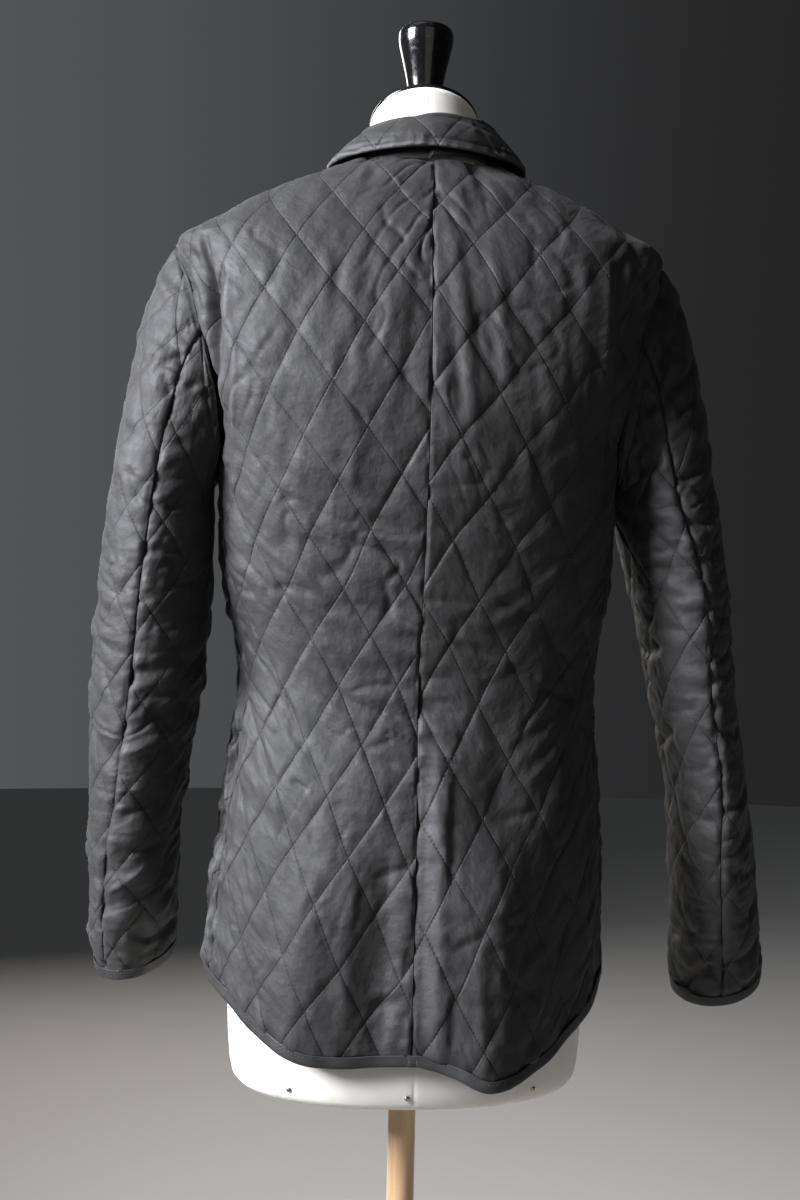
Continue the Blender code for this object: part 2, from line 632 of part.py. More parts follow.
def add_collar(collection):
    """The stand on the neckline, and the fall, which bends over at the fold line and hangs."""
    places = np.linspace(-1, 1, 2 * COLLAR_STEPS + 1)
    side = np.where(places < 0, 1, -1)[:, None] * np.array([1.0, 0.0, 0.0]) + [0.0, 1.0, 1.0]
    up = np.array([0.0, 0.0, 1.0])
    angle = 90 + (FOLD_END - 90) * np.abs(places)
    edge_angle = 90 + (EDGE_END - 90) * np.abs(places)
    outward = unit(neck_curve(COLLAR_FOLD, angle, 0 * angle))
    fold = neck_curve(COLLAR_FOLD, angle, height_round_neck(FOLD_HEIGHT, angle))
    fold[:, 2] -= FOLD_TILT * fold[:, 0] * side[:, 0]
    fold[:, 0] -= COLLAR_SHIFT * side[:, 0]
    middle = fold - up * FOLD_RADIUS
    leg = middle - outward * FOLD_RADIUS - up * FOLD_LEG

    low, facing = body(1, angle, NECKLINE)
    lifted = (places > 0) * OVERLAP_LIFT * lap_share(low[:, 0])
    low = low + facing * lifted[:, None] + up * SEAT
    high = leg + outward * STAND_CLOTH - up * SEAT
    stand = np.array([low + (high - low) * t for t in (0.0, 0.5, 1.0)]) * side
    normals = unit(np.cross(np.gradient(stand, axis=1), np.gradient(stand, axis=0)))
    cloth_wall("collar_stand", stand, normals, STAND_CLOTH, BLACK_CLOTH, collection)

    edge = neck_curve(COLLAR_EDGE, edge_angle, height_round_neck(EDGE_HEIGHT, edge_angle))
    rows = [leg]
    facing = [-outward]
    for degrees in (180, 135, 90, 45, 0):
        turn = math.radians(degrees)
        facing.append(outward * math.cos(turn) + up * math.sin(turn))
        rows.append(middle + facing[-1] * FOLD_RADIUS)
    edge[:, 0] -= COLLAR_SHIFT * side[:, 0]
    last = rows[-1]
    fall_normal = unit(np.cross(np.gradient(edge, axis=0), edge - last))
    fall_normal = fall_normal * np.sign(np.sum(fall_normal * outward, axis=1))[:, None]
    for t in (0.2, 0.6, 1.0):
        rows.append(last + (edge - last) * t + outward * FALL_BELLY * math.sin(math.pi * t))
        facing.append(fall_normal)
    fall = np.array(rows) * side
    normals = unit(np.array(facing)) * side
    cloth_wall("collar_fall", fall, normals, CLOTH, BLACK_CLOTH, collection)


def turned(name, profile, steps, finish, collection, drop=0.0):
    """A solid of revolution from a profile that runs from its top to its bottom."""
    mesh = bpy.data.meshes.new(name)
    points = [(radius, 0.0, height - drop) for radius, height in profile]
    edges = [(i, i + 1) for i in range(len(points) - 1)]
    mesh.from_pydata(points, edges, [])
    mesh.materials.append(material(finish))
    piece = bpy.data.objects.new(name, mesh)
    collection.objects.link(piece)
    screw = piece.modifiers.new("Turn", "SCREW")
    screw.steps = steps
    screw.render_steps = steps
    screw.use_merge_vertices = True
    screw.merge_threshold = 0.00001
    screw.use_smooth_shade = True
    return piece


def form_ring_point(angle, height):
    ring = {name: column(FORM_RINGS, FORM_COLUMNS, name, height) for name in FORM_COLUMNS[1:]}
    x, y, _ = superellipse(
        angle, ring["half_width"], ring["back"], ring["front"], ring["square"]
    )
    return np.stack([x, y, height + ring["lean"] * y], axis=-1)


def add_form_torso(collection):
    angles = np.arange(FORM_SIDES) * 360 / FORM_SIDES
    fixed = np.array([row[0] for row in FORM_RINGS])
    # Extra rings where the table's rows stand more than a hand's breadth apart
    extra = np.linspace(fixed[4], fixed[12], FORM_LEVELS - len(fixed) + 4)[1:-1]
    levels = np.unique(np.round(np.concatenate([fixed, extra]), 4))
    levels = levels[np.concatenate([[True], np.diff(levels) > 0.0015])]
    rings = [form_ring_point(angles, np.full(FORM_SIDES, level)) for level in levels]
    points = [p for ring in rings for p in ring]
    faces = [tuple(range(FORM_SIDES))]
    for r in range(len(rings) - 1):
        a, b = r * FORM_SIDES, (r + 1) * FORM_SIDES
        for k in range(FORM_SIDES):
            after = (k + 1) % FORM_SIDES
            faces.append((a + k, a + after, b + after, b + k))
    faces.append(tuple((len(rings) - 1) * FORM_SIDES + k for k in range(FORM_SIDES)))
    return add_object("form_torso", mesh_of("form_torso", points, faces), WHITE_JERSEY, collection)


def add_neck_cap_and_knob(collection):
    top = FORM_RINGS[-1]
    middle_y = (top[2] - top[3]) / 2
    middle = Vector((0.0, middle_y, top[0] + top[5] * middle_y))
    axis = Vector((0.0, -math.sin(NECK_TILT), math.cos(NECK_TILT)))
    rim = CAP_RADIUS - CAP_EDGE
    cap_profile = (
        (0.0, CAP_THICKNESS), (rim, CAP_THICKNESS), (CAP_RADIUS, CAP_THICKNESS - CAP_EDGE),
        (CAP_RADIUS, CAP_EDGE), (rim, 0.0), (0.0, 0.0),
    )
    cap = turned("form_neck_cap", cap_profile, TURNED_STEPS, BLACK_LACQUER, collection)
    cap.location = middle + axis * GAP
    cap.rotation_euler = (NECK_TILT, 0.0, 0.0)
    knob = turned("form_knob", KNOB_PROFILE, TURNED_STEPS, BLACK_LACQUER, collection)
    cutters = collect("cutters")
    bpy.ops.mesh.primitive_cube_add(size=0.1)
    cutter = bpy.context.object
    cutter.name = "knob_foot_cutter"
    for owner in cutter.users_collection:
        owner.objects.unlink(cutter)
    cutters.objects.link(cutter)
    cutter.location = middle + axis * (CAP_THICKNESS + 2 * GAP - 0.05)
    cutter.rotation_euler = (NECK_TILT, 0.0, 0.0)
    cutter.hide_render = True
    cutter.display_type = "WIRE"
    cut = knob.modifiers.new("Slanted foot", "BOOLEAN")
    cut.operation = "DIFFERENCE"
    cut.solver = "EXACT"
    cut.object = cutter


def add_stand(collection):
    turned("form_base", BASE_PROFILE, BASE_STEPS, BEECH, collection)
    foot = BASE_TOP + GAP
    length = FORM_RINGS[0][0] - GAP - foot
    pole_profile = ((0.0, length), (POLE_RADIUS, length), (POLE_RADIUS, 0.0), (0.0, 0.0))
    pole = turned("form_pole", pole_profile, TURNED_STEPS, BEECH, collection)
    pole.location = (0.0, 0.0, foot)


def seat(piece, point, normal, radius, under):
    """Lay a small turned piece on another one, a seam gap above its highest point."""
    normal = Vector(normal)
    turn = normal.to_track_quat("Z", "Y")
    surface = BVHTree.FromPolygons(
        [v.co for v in under.data.vertices], [p.vertices for p in under.data.polygons]
    )
    nearest = 1.0
    for k in range(16):
        round_it = math.radians(k * 22.5)
        rim = turn @ Vector((radius * math.cos(round_it), radius * math.sin(round_it), 0.0))
        start = Vector(point) + rim + normal * 0.02
        nearest = min(nearest, surface.ray_cast(start, -normal)[3])
    nearest = min(nearest, surface.ray_cast(Vector(point) + normal * 0.02, -normal)[3])
    piece.location = Vector(point) + normal * (0.02 - nearest + GAP)
    piece.rotation_euler = turn.to_euler()


def add_pins(torso, collection):
    for number, angle in enumerate(PIN_ANGLES, 1):
        point = form_ring_point(angle, PIN_LEVEL)
        beside = form_ring_point(angle + 1, PIN_LEVEL) - form_ring_point(angle - 1, PIN_LEVEL)
        above = form_ring_point(angle, PIN_LEVEL + 0.003) - form_ring_point(angle, PIN_LEVEL - 0.003)
        normal = unit(np.cross(beside, above))
        profile = (
            (0.0, PIN_HEIGHT), (PIN_RADIUS * 0.6, PIN_HEIGHT * 0.85), (PIN_RADIUS, PIN_HEIGHT * 0.3),
            (PIN_RADIUS * 0.9, 0.0), (0.0, 0.0),
        )
        pin = turned(f"form_pin_{number}", profile, 12, PIN_STEEL, collection)
        seat(pin, point, normal, PIN_RADIUS, torso)


def add_snaps(front, collection):
    for number, height in enumerate(SNAP_HEIGHTS, 1):
        point, normal = body(1, -90.0, height)
        edge = SNAP_RADIUS * 0.85
        profile = (
            (0.0, SNAP_THICKNESS), (edge, SNAP_THICKNESS), (SNAP_RADIUS, SNAP_THICKNESS * 0.6),
            (SNAP_RADIUS, SNAP_THICKNESS * 0.2), (edge, 0.0), (0.0, 0.0),
        )
        snap = turned(f"snap_{number}", profile, 20, SNAP_METAL, collection)
        seat(snap, point, normal, SNAP_RADIUS, front)


def main():
    for old in list(bpy.data.objects):
        bpy.data.objects.remove(old)
    jacket = collect("quilted_jacket")
    form = collect("dress_form")
    edges = add_panels(jacket)
    add_hem_binding(edges, jacket)
    add_sleeves(jacket)
    add_collar(jacket)
    add_snaps(jacket.objects["front_right"], jacket)
    torso = add_form_torso(form)
    add_neck_cap_and_knob(form)
    add_pins(torso, form)
    add_stand(form)


main()
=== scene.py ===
# Diamond-quilted jacket, buttoned up on a limbless dress form with a beech stand.
# Metres, +Z up. The jacket's front faces -Y, and the wearer's left side is +X.
import math

import bpy
import numpy as np
from mathutils import Matrix, Vector
from mathutils.kdtree import KDTree


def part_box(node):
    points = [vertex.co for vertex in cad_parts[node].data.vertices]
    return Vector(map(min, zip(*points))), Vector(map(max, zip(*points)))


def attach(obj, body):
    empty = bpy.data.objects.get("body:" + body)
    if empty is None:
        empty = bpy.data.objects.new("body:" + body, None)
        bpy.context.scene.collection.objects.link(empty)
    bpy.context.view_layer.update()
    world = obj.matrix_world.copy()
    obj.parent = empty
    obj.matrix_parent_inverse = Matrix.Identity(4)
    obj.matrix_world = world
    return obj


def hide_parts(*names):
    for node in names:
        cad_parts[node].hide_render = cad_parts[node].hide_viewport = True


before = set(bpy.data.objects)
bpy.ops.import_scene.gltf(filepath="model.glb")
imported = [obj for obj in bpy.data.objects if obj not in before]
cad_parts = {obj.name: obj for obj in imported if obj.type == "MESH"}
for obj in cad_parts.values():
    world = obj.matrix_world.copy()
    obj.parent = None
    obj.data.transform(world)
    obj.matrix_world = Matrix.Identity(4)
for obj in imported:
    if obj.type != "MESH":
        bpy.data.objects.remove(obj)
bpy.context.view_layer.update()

cameraPlace = {
    "distance": 1.25,  # from the pole to the lens
    "eyeHeight": 1.025,
    "sideways": 0.011,  # the lens stands this far to the wearer's left of the turned line
    "turn": 4.5,  # degrees towards the wearer's left, from straight behind
    "roll": 1.302,  # degrees
    "lens": 45.96,  # mm, on a sensor 36 mm high
}


def makeCamera():
    turn = math.radians(cameraPlace["turn"])
    back = Vector((math.sin(turn), math.cos(turn), 0))
    left = Vector((math.cos(turn), -math.sin(turn), 0))
    data = bpy.data.cameras.new("camera")
    data.sensor_fit = "VERTICAL"
    data.sensor_height = 36
    data.lens = cameraPlace["lens"]
    camera = bpy.data.objects.new("camera", data)
    bpy.context.scene.collection.objects.link(camera)
    place = back * cameraPlace["distance"] + left * cameraPlace["sideways"]
    place.z = cameraPlace["eyeHeight"]
    facing = (-back).to_track_quat("-Z", "Y").to_matrix().to_4x4()
    roll = Matrix.Rotation(math.radians(cameraPlace["roll"]), 4, "Z")
    camera.matrix_world = Matrix.Translation(place) @ facing @ roll
    bpy.context.scene.camera = camera


makeCamera()
print("camera set")


def linear(hexColour):
    parts = [int(hexColour[i : i + 2], 16) / 255 for i in (1, 3, 5)]
    return tuple(c / 12.92 if c <= 0.04045 else ((c + 0.055) / 1.055) ** 2.4 for c in parts)


def addNode(tree, kind, settings=None, **links):
    # settings are node attributes or socket values; links name a socket, or i1 its number
    node = tree.nodes.new(kind)
    for key, value in (settings or {}).items():
        if hasattr(node, key):
            setattr(node, key, value)
        else:
            node.inputs[key].default_value = value
    for key, source in links.items():
        which = int(key[1:]) if key[1:].isdigit() else key.replace("_", " ")
        tree.links.new(source, node.inputs[which])
    return node


def newMaterial(name, **sockets):
    # sockets of the shader with plain values, colours as hex
    made = bpy.data.materials.new(name)
    made.use_nodes = True
    shader = made.node_tree.nodes["Principled BSDF"]
    for key, value in sockets.items():
        value = (*linear(value), 1) if isinstance(value, str) else value
        shader.inputs[key.replace("_", " ")].default_value = value
    return made, made.node_tree, shader


def colourSteps(tree, source, *stops):
    # a ramp through (place, hex colour) stops
    node = addNode(tree, "ShaderNodeValToRGB", Fac=source)
    while len(node.color_ramp.elements) < len(stops):
        node.color_ramp.elements.new(0.5)
    for element, (place, colour) in zip(node.color_ramp.elements, stops):
        element.position = place
        element.color = (*linear(colour), 1)
    return node.outputs["Color"]


def addMath(tree, operation, *values):
    # each value is a socket or a plain number
    node = addNode(tree, "ShaderNodeMath", {"operation": operation})
    for socket, value in zip(node.inputs, values):
        if isinstance(value, float):
            socket.default_value = value
        else:
            tree.links.new(value, socket)
    return node.outputs[0]


def addRange(tree, source, low, high, toLow=0.0, toHigh=1.0, **settings):
    # maps low to high on to toLow to toHigh, and no farther
    settings = {"From Min": low, "From Max": high, "To Min": toLow, "To Max": toHigh, **settings}
    return addNode(tree, "ShaderNodeMapRange", settings, Value=source).outputs[0]


def addNoise(tree, place, scale, detail, **settings):
    settings = {"Scale": scale, "Detail": detail, **settings}
    return addNode(tree, "ShaderNodeTexNoise", settings, Vector=place).outputs["Fac"]


def addWave(tree, place, direction, spacing, distortion):
    # bands this far apart, in metres
    scale = math.pi / 10 / spacing
    settings = {"bands_direction": direction, "Scale": scale, "Distortion": distortion}
    return addNode(tree, "ShaderNodeTexWave", settings, Vector=place).outputs["Fac"]


def addBump(tree, height, strength, distance, under=None):
    settings = {"Strength": strength, "Distance": distance}
    node = addNode(tree, "ShaderNodeBump", settings, Height=height)
    if under is not None:
        tree.links.new(under, node.inputs["Normal"])
    return node.outputs[0]


def paintOver(tree, share, colour, hexColour):
    # the plain colour covers the other one where share is 1
    node = addNode(tree, "ShaderNodeMix", {"data_type": "RGBA"}, i0=share, i6=colour)
    node.inputs[7].default_value = (*linear(hexColour), 1)
    return node.outputs[2]


def feed(tree, shader, **sources):
    # links sources to the shader's sockets by name
    for key, source in sources.items():
        tree.links.new(source, shader.inputs[key.replace("_", " ")])


def objectPlace(tree):
    return addNode(tree, "ShaderNodeTexCoord").outputs["Object"]


# The body's outer face as horizontal rings: depths from the side line (y = 0), a superellipse
# exponent for each half, and how far the ring's back or front middle drops
bodyColumns = (
    "height", "left", "right", "back", "front", "backSquare", "frontSquare", "backDrop",
    "frontDrop",
)
bodyRings = (
    (0.640, 0.1635, 0.1580, 0.117, 0.108, 2.3, 2.2, 0.000, 0.000),
    (0.700, 0.1640, 0.1585, 0.119, 0.110, 2.3, 2.2, 0.000, 0.000),
    (0.780, 0.1605, 0.1580, 0.117, 0.111, 2.3, 2.2, 0.000, 0.000),
    (0.870, 0.1510, 0.1540, 0.108, 0.104, 2.3, 2.2, 0.000, 0.000),
    (0.960, 0.1405, 0.1470, 0.092, 0.094, 2.3, 2.2, 0.000, 0.000),
    (1.050, 0.1575, 0.1595, 0.101, 0.112, 2.4, 2.2, 0.000, 0.000),
    (1.130, 0.1605, 0.1605, 0.113, 0.132, 2.6, 2.2, 0.000, 0.000),
    (1.190, 0.1725, 0.1715, 0.117, 0.124, 2.8, 2.4, 0.000, 0.003),
    (1.250, 0.1860, 0.1850, 0.111, 0.100, 2.8, 2.5, 0.000, 0.010),
    (1.290, 0.1945, 0.1930, 0.098, 0.080, 2.7, 2.4, 0.000, 0.018),
    (1.305, 0.1970, 0.1955, 0.091, 0.072, 2.6, 2.4, 0.000, 0.022),
    (1.3245, 0.1685, 0.1685, 0.082, 0.067, 2.4, 2.2, 0.001, 0.035),
    (1.3515, 0.1227, 0.1227, 0.069, 0.063, 2.2, 2.1, 0.003, 0.055),
    (1.3760, 0.0660, 0.0660, 0.052, 0.058, 2.0, 2.0, 0.006, 0.070),
)
neckline = 1.3760
waist = 0.960
underarmCentre = 1.132  # height on the centre line of the row that meets the underarm
tipCentre = 1.318  # and of the row that meets the shoulder tip

# Hem height by angle round the body: 90 centre back, 0 side, -90 centre front; left and right
hemTable = (
    (-100, 0.702, 0.702), (-90, 0.702, 0.702), (-60, 0.708, 0.708), (-30, 0.727, 0.729),
    (0, 0.738, 0.741), (20, 0.731, 0.731), (33, 0.722, 0.712), (46, 0.704, 0.692),
    (58, 0.691, 0.680), (66, 0.686, 0.674), (74, 0.685, 0.672), (81, 0.686, 0.680),
    (90, 0.688, 0.688),
)
centreSeam = (  # height, how far the centre back seam hangs to the left
    (0.640, 0.0050), (0.780, 0.0035), (0.960, 0.0025), (1.070, 0.0004), (1.300, -0.0004),
    (1.376, -0.0040),
)
sideSeam = ((0.640, 19.0), (0.960, 19.0), (1.050, 16.5), (1.132, 13.1))  # height, angle

# Large folds: side, top angle, top height, foot angle, foot height, half angle, depth, foot share
bodyFolds = (
    (1, 31.0, 1.300, 30.0, 1.180, 4.5, -0.0070, 0.0),
    (1, 22.0, 1.300, 27.0, 1.262, 3.5, -0.0040, 0.0),
    (-1, 34.0, 1.290, 30.0, 1.190, 4.5, -0.0075, 0.0),
    (-1, 72.0, 0.880, 73.5, 0.660, 9.0, 0.0160, 1.0),
    (1, 62.0, 0.850, 60.0, 0.660, 8.0, 0.0060, 1.0),
    (1, 80.0, 0.860, 82.0, 0.660, 6.0, -0.0040, 1.0),
    (-1, 46.0, 0.860, 44.0, 0.660, 8.0, -0.0060, 1.0),
    (1, -38.0, 1.270, -34.0, 1.170, 5.5, -0.0060, 0.0),
    (-1, -38.0, 1.270, -34.0, 1.170, 5.5, -0.0055, 0.0),
    (1, -55.0, 0.880, -52.0, 0.690, 9.0, 0.0050, 1.0),
    (-1, -50.0, 0.870, -54.0, 0.690, 9.0, 0.0055, 1.0),
)

# Armhole as angle and height, from the shoulder tip down the back, under the arm and up the front
armholeTable = (
    (0.0, 1.305), (7.6, 1.290), (15.2, 1.265), (19.3, 1.228), (20.3, 1.190), (18.4, 1.155),
    (13.1, 1.132), (0.7, 1.122), (-10.5, 1.127), (-18.7, 1.148), (-22.4, 1.180), (-23.6, 1.220),
    (-20.5, 1.260), (-11.4, 1.290),
)
sideRow, backSeamRow, frontSeamRow = 6, 3, 10  # armhole rows where the seams meet it

# Sleeve rings below the armhole: the drops slope a ring, and twist turns the seams round the arm
sleeveColumns = ("height", "centreX", "centreY", "halfX", "halfY", "backDrop", "outerRise", "twist")
sleeveRings = {
    1: (
        (0.7330, 0.2222, -0.046, 0.0335, 0.048, 0.22, -0.20, -40.0),
        (0.7700, 0.2238, -0.037, 0.0352, 0.053, 0.21, -0.12, -35.0),
        (0.8160, 0.2239, -0.028, 0.0370, 0.058, 0.18, -0.05, -28.0),
        (0.8870, 0.2196, -0.017, 0.0400, 0.062, 0.12, 0.00, -16.0),
        (0.9600, 0.2135, -0.009, 0.0462, 0.064, 0.08, 0.00, -10.0),
        (1.0300, 0.2095, -0.003, 0.0455, 0.067, 0.02, 0.00, -6.0),
        (1.1000, 0.2062, 0.000, 0.0425, 0.066, 0.00, 0.00, 0.0),
    ),
    -1: (
        (0.7117, 0.2725, -0.051, 0.0370, 0.047, 0.22, 0.24, 13.0),
        (0.7680, 0.2667, -0.040, 0.0355, 0.054, 0.21, 0.20, 14.0),
        (0.8200, 0.2593, -0.030, 0.0330, 0.062, 0.18, 0.20, 15.0),
        (0.8890, 0.2488, -0.019, 0.0290, 0.069, 0.12, 0.20, 8.0),
        (0.9600, 0.2328, -0.009, 0.0320, 0.069, 0.08, 0.10, 0.0),
        (1.0300, 0.2210, -0.003, 0.0375, 0.068, 0.02, 0.03, -6.0),
        (1.1000, 0.2058, 0.000, 0.0422, 0.066, 0.00, 0.00, 5.0),
    ),
}
bicep = 1.100
roundTheArm = ((0, 0.0), (3, 88.0), (7, 180.0), (10, 255.0), (14, 360.0))  # armhole row, degrees

lap = {"past": 0.020, "lift": 0.0048, "liftFrom": 0.052, "liftTo": 0.026}  # right front over left
cloth = {"wall": 0.0030, "standWall": 0.0020, "foldWall": 0.0016, "seamGap": 0.0003, "seat": 0.0006}


def smoothThrough(places, values, at):
    # a monotone cubic through a table's rows, which never bulges past them
    places = np.asarray(places, float)
    values = np.asarray(values, float)
    steps = np.diff(places)
    rises = np.diff(values) / steps
    slopes = np.zeros_like(values)
    slopes[0], slopes[-1] = rises[0], rises[-1]
    for i in range(1, len(values) - 1):
        if rises[i - 1] * rises[i] > 0:
            before = 2 * steps[i] + steps[i - 1]
            after = steps[i] + 2 * steps[i - 1]
            slopes[i] = (before + after) / (before / rises[i - 1] + after / rises[i])
    at = np.clip(np.asarray(at, float), places[0], places[-1])
    row = np.clip(np.searchsorted(places, at, side="right") - 1, 0, len(steps) - 1)
    t = (at - places[row]) / steps[row]
    return (
        (1 + 2 * t) * (1 - t) ** 2 * values[row]
        + t * (1 - t) ** 2 * steps[row] * slopes[row]
        + t * t * (3 - 2 * t) * values[row + 1]
        + t * t * (t - 1) * steps[row] * slopes[row + 1]
    )


def through(table, at, column=1):
    rows = sorted(table)
    return smoothThrough([row[0] for row in rows], [row[column] for row in rows], at)


def ringValue(table, names, name, at):
    return through(table, at, names.index(name))


def ease(t):
    t = np.clip(t, 0, 1)
    return t * t * (3 - 2 * t)


def unit(vectors):
    return vectors / np.maximum(np.linalg.norm(vectors, axis=-1, keepdims=True), 1e-12)


def superellipse(angle, halfWidth, back, front, square):
    cosine, sine = np.cos(np.radians(angle)), np.sin(np.radians(angle))
    depth = np.where(sine >= 0, back, front)
    x = halfWidth * np.sign(cosine) * np.abs(cosine) ** (2 / square)
    y = depth * np.sign(sine) * np.abs(sine) ** (2 / square)
    return x, y, sine


def foldDepth(side, angle, height):
    total = np.zeros(np.broadcast(angle, height).shape)
    ownSide = np.where(np.abs(angle) > 90, -side, side)
    ownAngle = np.where(np.abs(angle) > 90, np.sign(angle) * 180 - angle, angle)
    for foldSide, topAngle, topHeight, footAngle, footHeight, half, depth, foot in bodyFolds:
        along = (topHeight - height) / (topHeight - footHeight)
        centre = topAngle + (footAngle - topAngle) * along
        mirrored = np.sign(topAngle) * 180 - ownAngle - centre
        offset = np.where(ownSide == foldSide, ownAngle - centre, mirrored)
        start = ease(along * 2.5)
        end = foot + (1 - foot) * ease((1 - along) * 2.5)
        total = total + depth * np.exp(-((offset / half) ** 2)) * start * end
    return total


def smoothBody(side, angle, height):
    values = {name: ringValue(bodyRings, bodyColumns, name, height) for name in bodyColumns[1:]}
    behind = np.asarray(angle) >= 0
    square = np.where(behind, values["backSquare"], values["frontSquare"])
    isLeft = side * np.cos(np.radians(angle)) >= 0
    halfWidth = np.where(isLeft, values["left"], values["right"])
    x, y, sine = superellipse(angle, halfWidth, values["back"], values["front"], square)
    drop = np.where(behind, values["backDrop"], values["frontDrop"])
    return np.stack([side * x, y, height - drop * sine**2], axis=-1)


normalStep = {"angle": 0.8, "height": 0.0015}  # how far round and up the slope is measured


def body(side, angle, height):
    # points and outward normals of the jacket body's outer face
    angle, height = np.broadcast_arrays(np.asarray(angle, float), np.asarray(height, float))
    turn, rise = normalStep["angle"], normalStep["height"]
    roundIt = smoothBody(side, angle + turn, height) - smoothBody(side, angle - turn, height)
    above = smoothBody(side, angle, np.minimum(height + rise, neckline))
    normal = side * unit(np.cross(roundIt, above - smoothBody(side, angle, height - rise)))
    point = smoothBody(side, angle, height) + normal * foldDepth(side, angle, height)[..., None]
    return point, normal


def angleOf(side, isBack, distance, height):
    # angle round the ring of a place at a distance from the centre line
    wide = "left" if side * distance > 0 else "right"
    halfWidth = ringValue(bodyRings, bodyColumns, wide, height)
    square = ringValue(bodyRings, bodyColumns, "backSquare" if isBack else "frontSquare", height)
    fromMiddle = math.degrees(math.asin((abs(distance) / halfWidth) ** (square / 2)))
    angle = 90 - math.copysign(fromMiddle, distance)
    return angle if isBack else -angle


def hemHeight(side, angle):
    return through(hemTable, np.where(angle > 90, 180 - angle, angle), 1 if side > 0 else 2)


def lapShare(inside):
    return ease((lap["liftFrom"] - inside) / (lap["liftFrom"] - lap["liftTo"]))


def armhole(stations):
    # angle and height at places round the closed armhole, 0 at the shoulder tip
    rows = np.asarray(armholeTable, float)
    stations = np.asarray(stations, float)
    row = np.floor(stations).astype(int)
    t = (stations - row)[:, None]
    before, first, second, after = (rows[(row + k) % len(rows)] for k in (-1, 0, 1, 2))
    point = 0.5 * (
        2 * first
        + (second - before) * t
        + (2 * before - 5 * first + 4 * second - after) * t**2
        + (3 * first - before - 3 * second + after) * t**3
    )
    return point[:, 0], point[:, 1]


noiseCells = 64  # the noise repeats after this many


def softNoise(u, v, seed):
    # smooth noise from -1 to 1, one cell to each whole step of u and v
    table = np.random.default_rng(seed).uniform(-1, 1, (noiseCells, noiseCells))
    u, v = np.broadcast_arrays(u, v)
    column, row = np.floor(u).astype(int), np.floor(v).astype(int)
    fu, fv = ease(u - column), ease(v - row)
    left, right = column % noiseCells, (column + 1) % noiseCells
    low, high = row % noiseCells, (row + 1) % noiseCells
    near = table[left, low] * (1 - fu) + table[right, low] * fu
    far = table[left, high] * (1 - fu) + table[right, high] * fu
    return near * (1 - fv) + far * fv


def arcAlong(points, axis):
    # distance along a grid's rows (axis 1) or columns (axis 0)
    steps = np.linalg.norm(np.diff(points, axis=axis), axis=-1)
    first = np.zeros_like(np.take(steps, [0], axis=axis))
    return np.concatenate([first, np.cumsum(steps, axis=axis)], axis=axis)


panelRowCounts = {"hip": 132, "waist": 84, "armholeSteps": 15, "shoulder": 30}
backColumns = 128
frontColumns = 112
edgeCrowding = 0.55  # how much closer a panel's columns stand at its seams
fineSteps = 160  # places at which each row's length is measured


def panelRows(isBack):
    # per row: share of the way from hem to waist, centre height, edge angle, edge height
    rows = [(share, waist, None, waist) for share in np.linspace(0, 1, panelRowCounts["hip"] + 1)]
    sideTop = armholeTable[sideRow][1]
    for share in np.linspace(0, 1, panelRowCounts["waist"] + 1)[1:-1]:
        centre = waist + share * (underarmCentre - waist)
        rows.append((1.0, centre, None, waist + share * (sideTop - waist)))
    last = 0 if isBack else len(armholeTable)
    count = abs(sideRow - last) * panelRowCounts["armholeSteps"]
    angles, heights = armhole(np.linspace(sideRow, last, count + 1))
    centres = np.linspace(underarmCentre, tipCentre, count + 1)
    rows += [(1.0, c, a, h) for c, a, h in zip(centres, angles, heights)]
    tip = armholeTable[0][1]
    for share in np.linspace(0, 1, panelRowCounts["shoulder"] + 1)[1:]:
        centre = tipCentre + share * (neckline - tipCentre)
        rows.append((1.0, centre, 0.0, tip + share * (neckline - tip)))
    return rows


def panelGrid(side, isBack, columns, lift=0.0):
    # outer points and normals of a panel, rows from the hem up, columns from the centre outwards
    places = np.linspace(0, 1, columns + 1)
    places = places - edgeCrowding * np.sin(2 * math.pi * places) / (2 * math.pi)
    fine = np.linspace(0, 1, fineSteps)
    points, normals, across = [], [], []
    for share, centreHeight, edgeAngle, edgeHeight in panelRows(isBack):
        onSeam = edgeAngle is None or edgeAngle == 0.0
        if edgeAngle is None:
            edgeAngle = float(through(sideSeam, edgeHeight))
        hem = float(hemHeight(side, 90.0 if isBack else -90.0))
        onCentre = hem + (centreHeight - hem) * share
        inset = side * float(through(centreSeam, onCentre)) if isBack else -lap["past"]
        centreAngle = angleOf(side, isBack, inset, onCentre)
        angle = centreAngle + (edgeAngle - centreAngle) * fine
        height = centreHeight + (edgeHeight - centreHeight) * fine**2
        low = hemHeight(side, angle)
        height = low + (height - low) * share if share < 1 else height
        line, normal = body(side, angle, height)
        length = arcAlong(line[None], 1)[0]
        start = cloth["seamGap"] / 2 if isBack else 0.0
        end = length[-1] - (cloth["seamGap"] / 2 if onSeam else 0.0)
        at = start + (end - start) * places
        line = np.stack([np.interp(at, length, line[:, k]) for k in range(3)], axis=1)
        normal = unit(np.stack([np.interp(at, length, normal[:, k]) for k in range(3)], axis=1))
        raised = lift * lapShare(side * line[:, 0])
        points.append(line + normal * raised[:, None])
        normals.append(normal)
        across.append(at)
    return np.array(points), np.array(normals), np.array(across)


capShares = 0.5 - 0.5 * np.cos(np.linspace(0, math.pi, 97))[:-1]
sleeveStations = 11  # columns to each row of the armhole table
armRows = 228
sleeveHead = {  # how far its curve leans out of the armhole, and how long it holds its two ends
    "lean": 0.30, "leanOutside": 0.65, "reachShare": 0.55, "reach": 0.10, "arrive": 0.8,
}


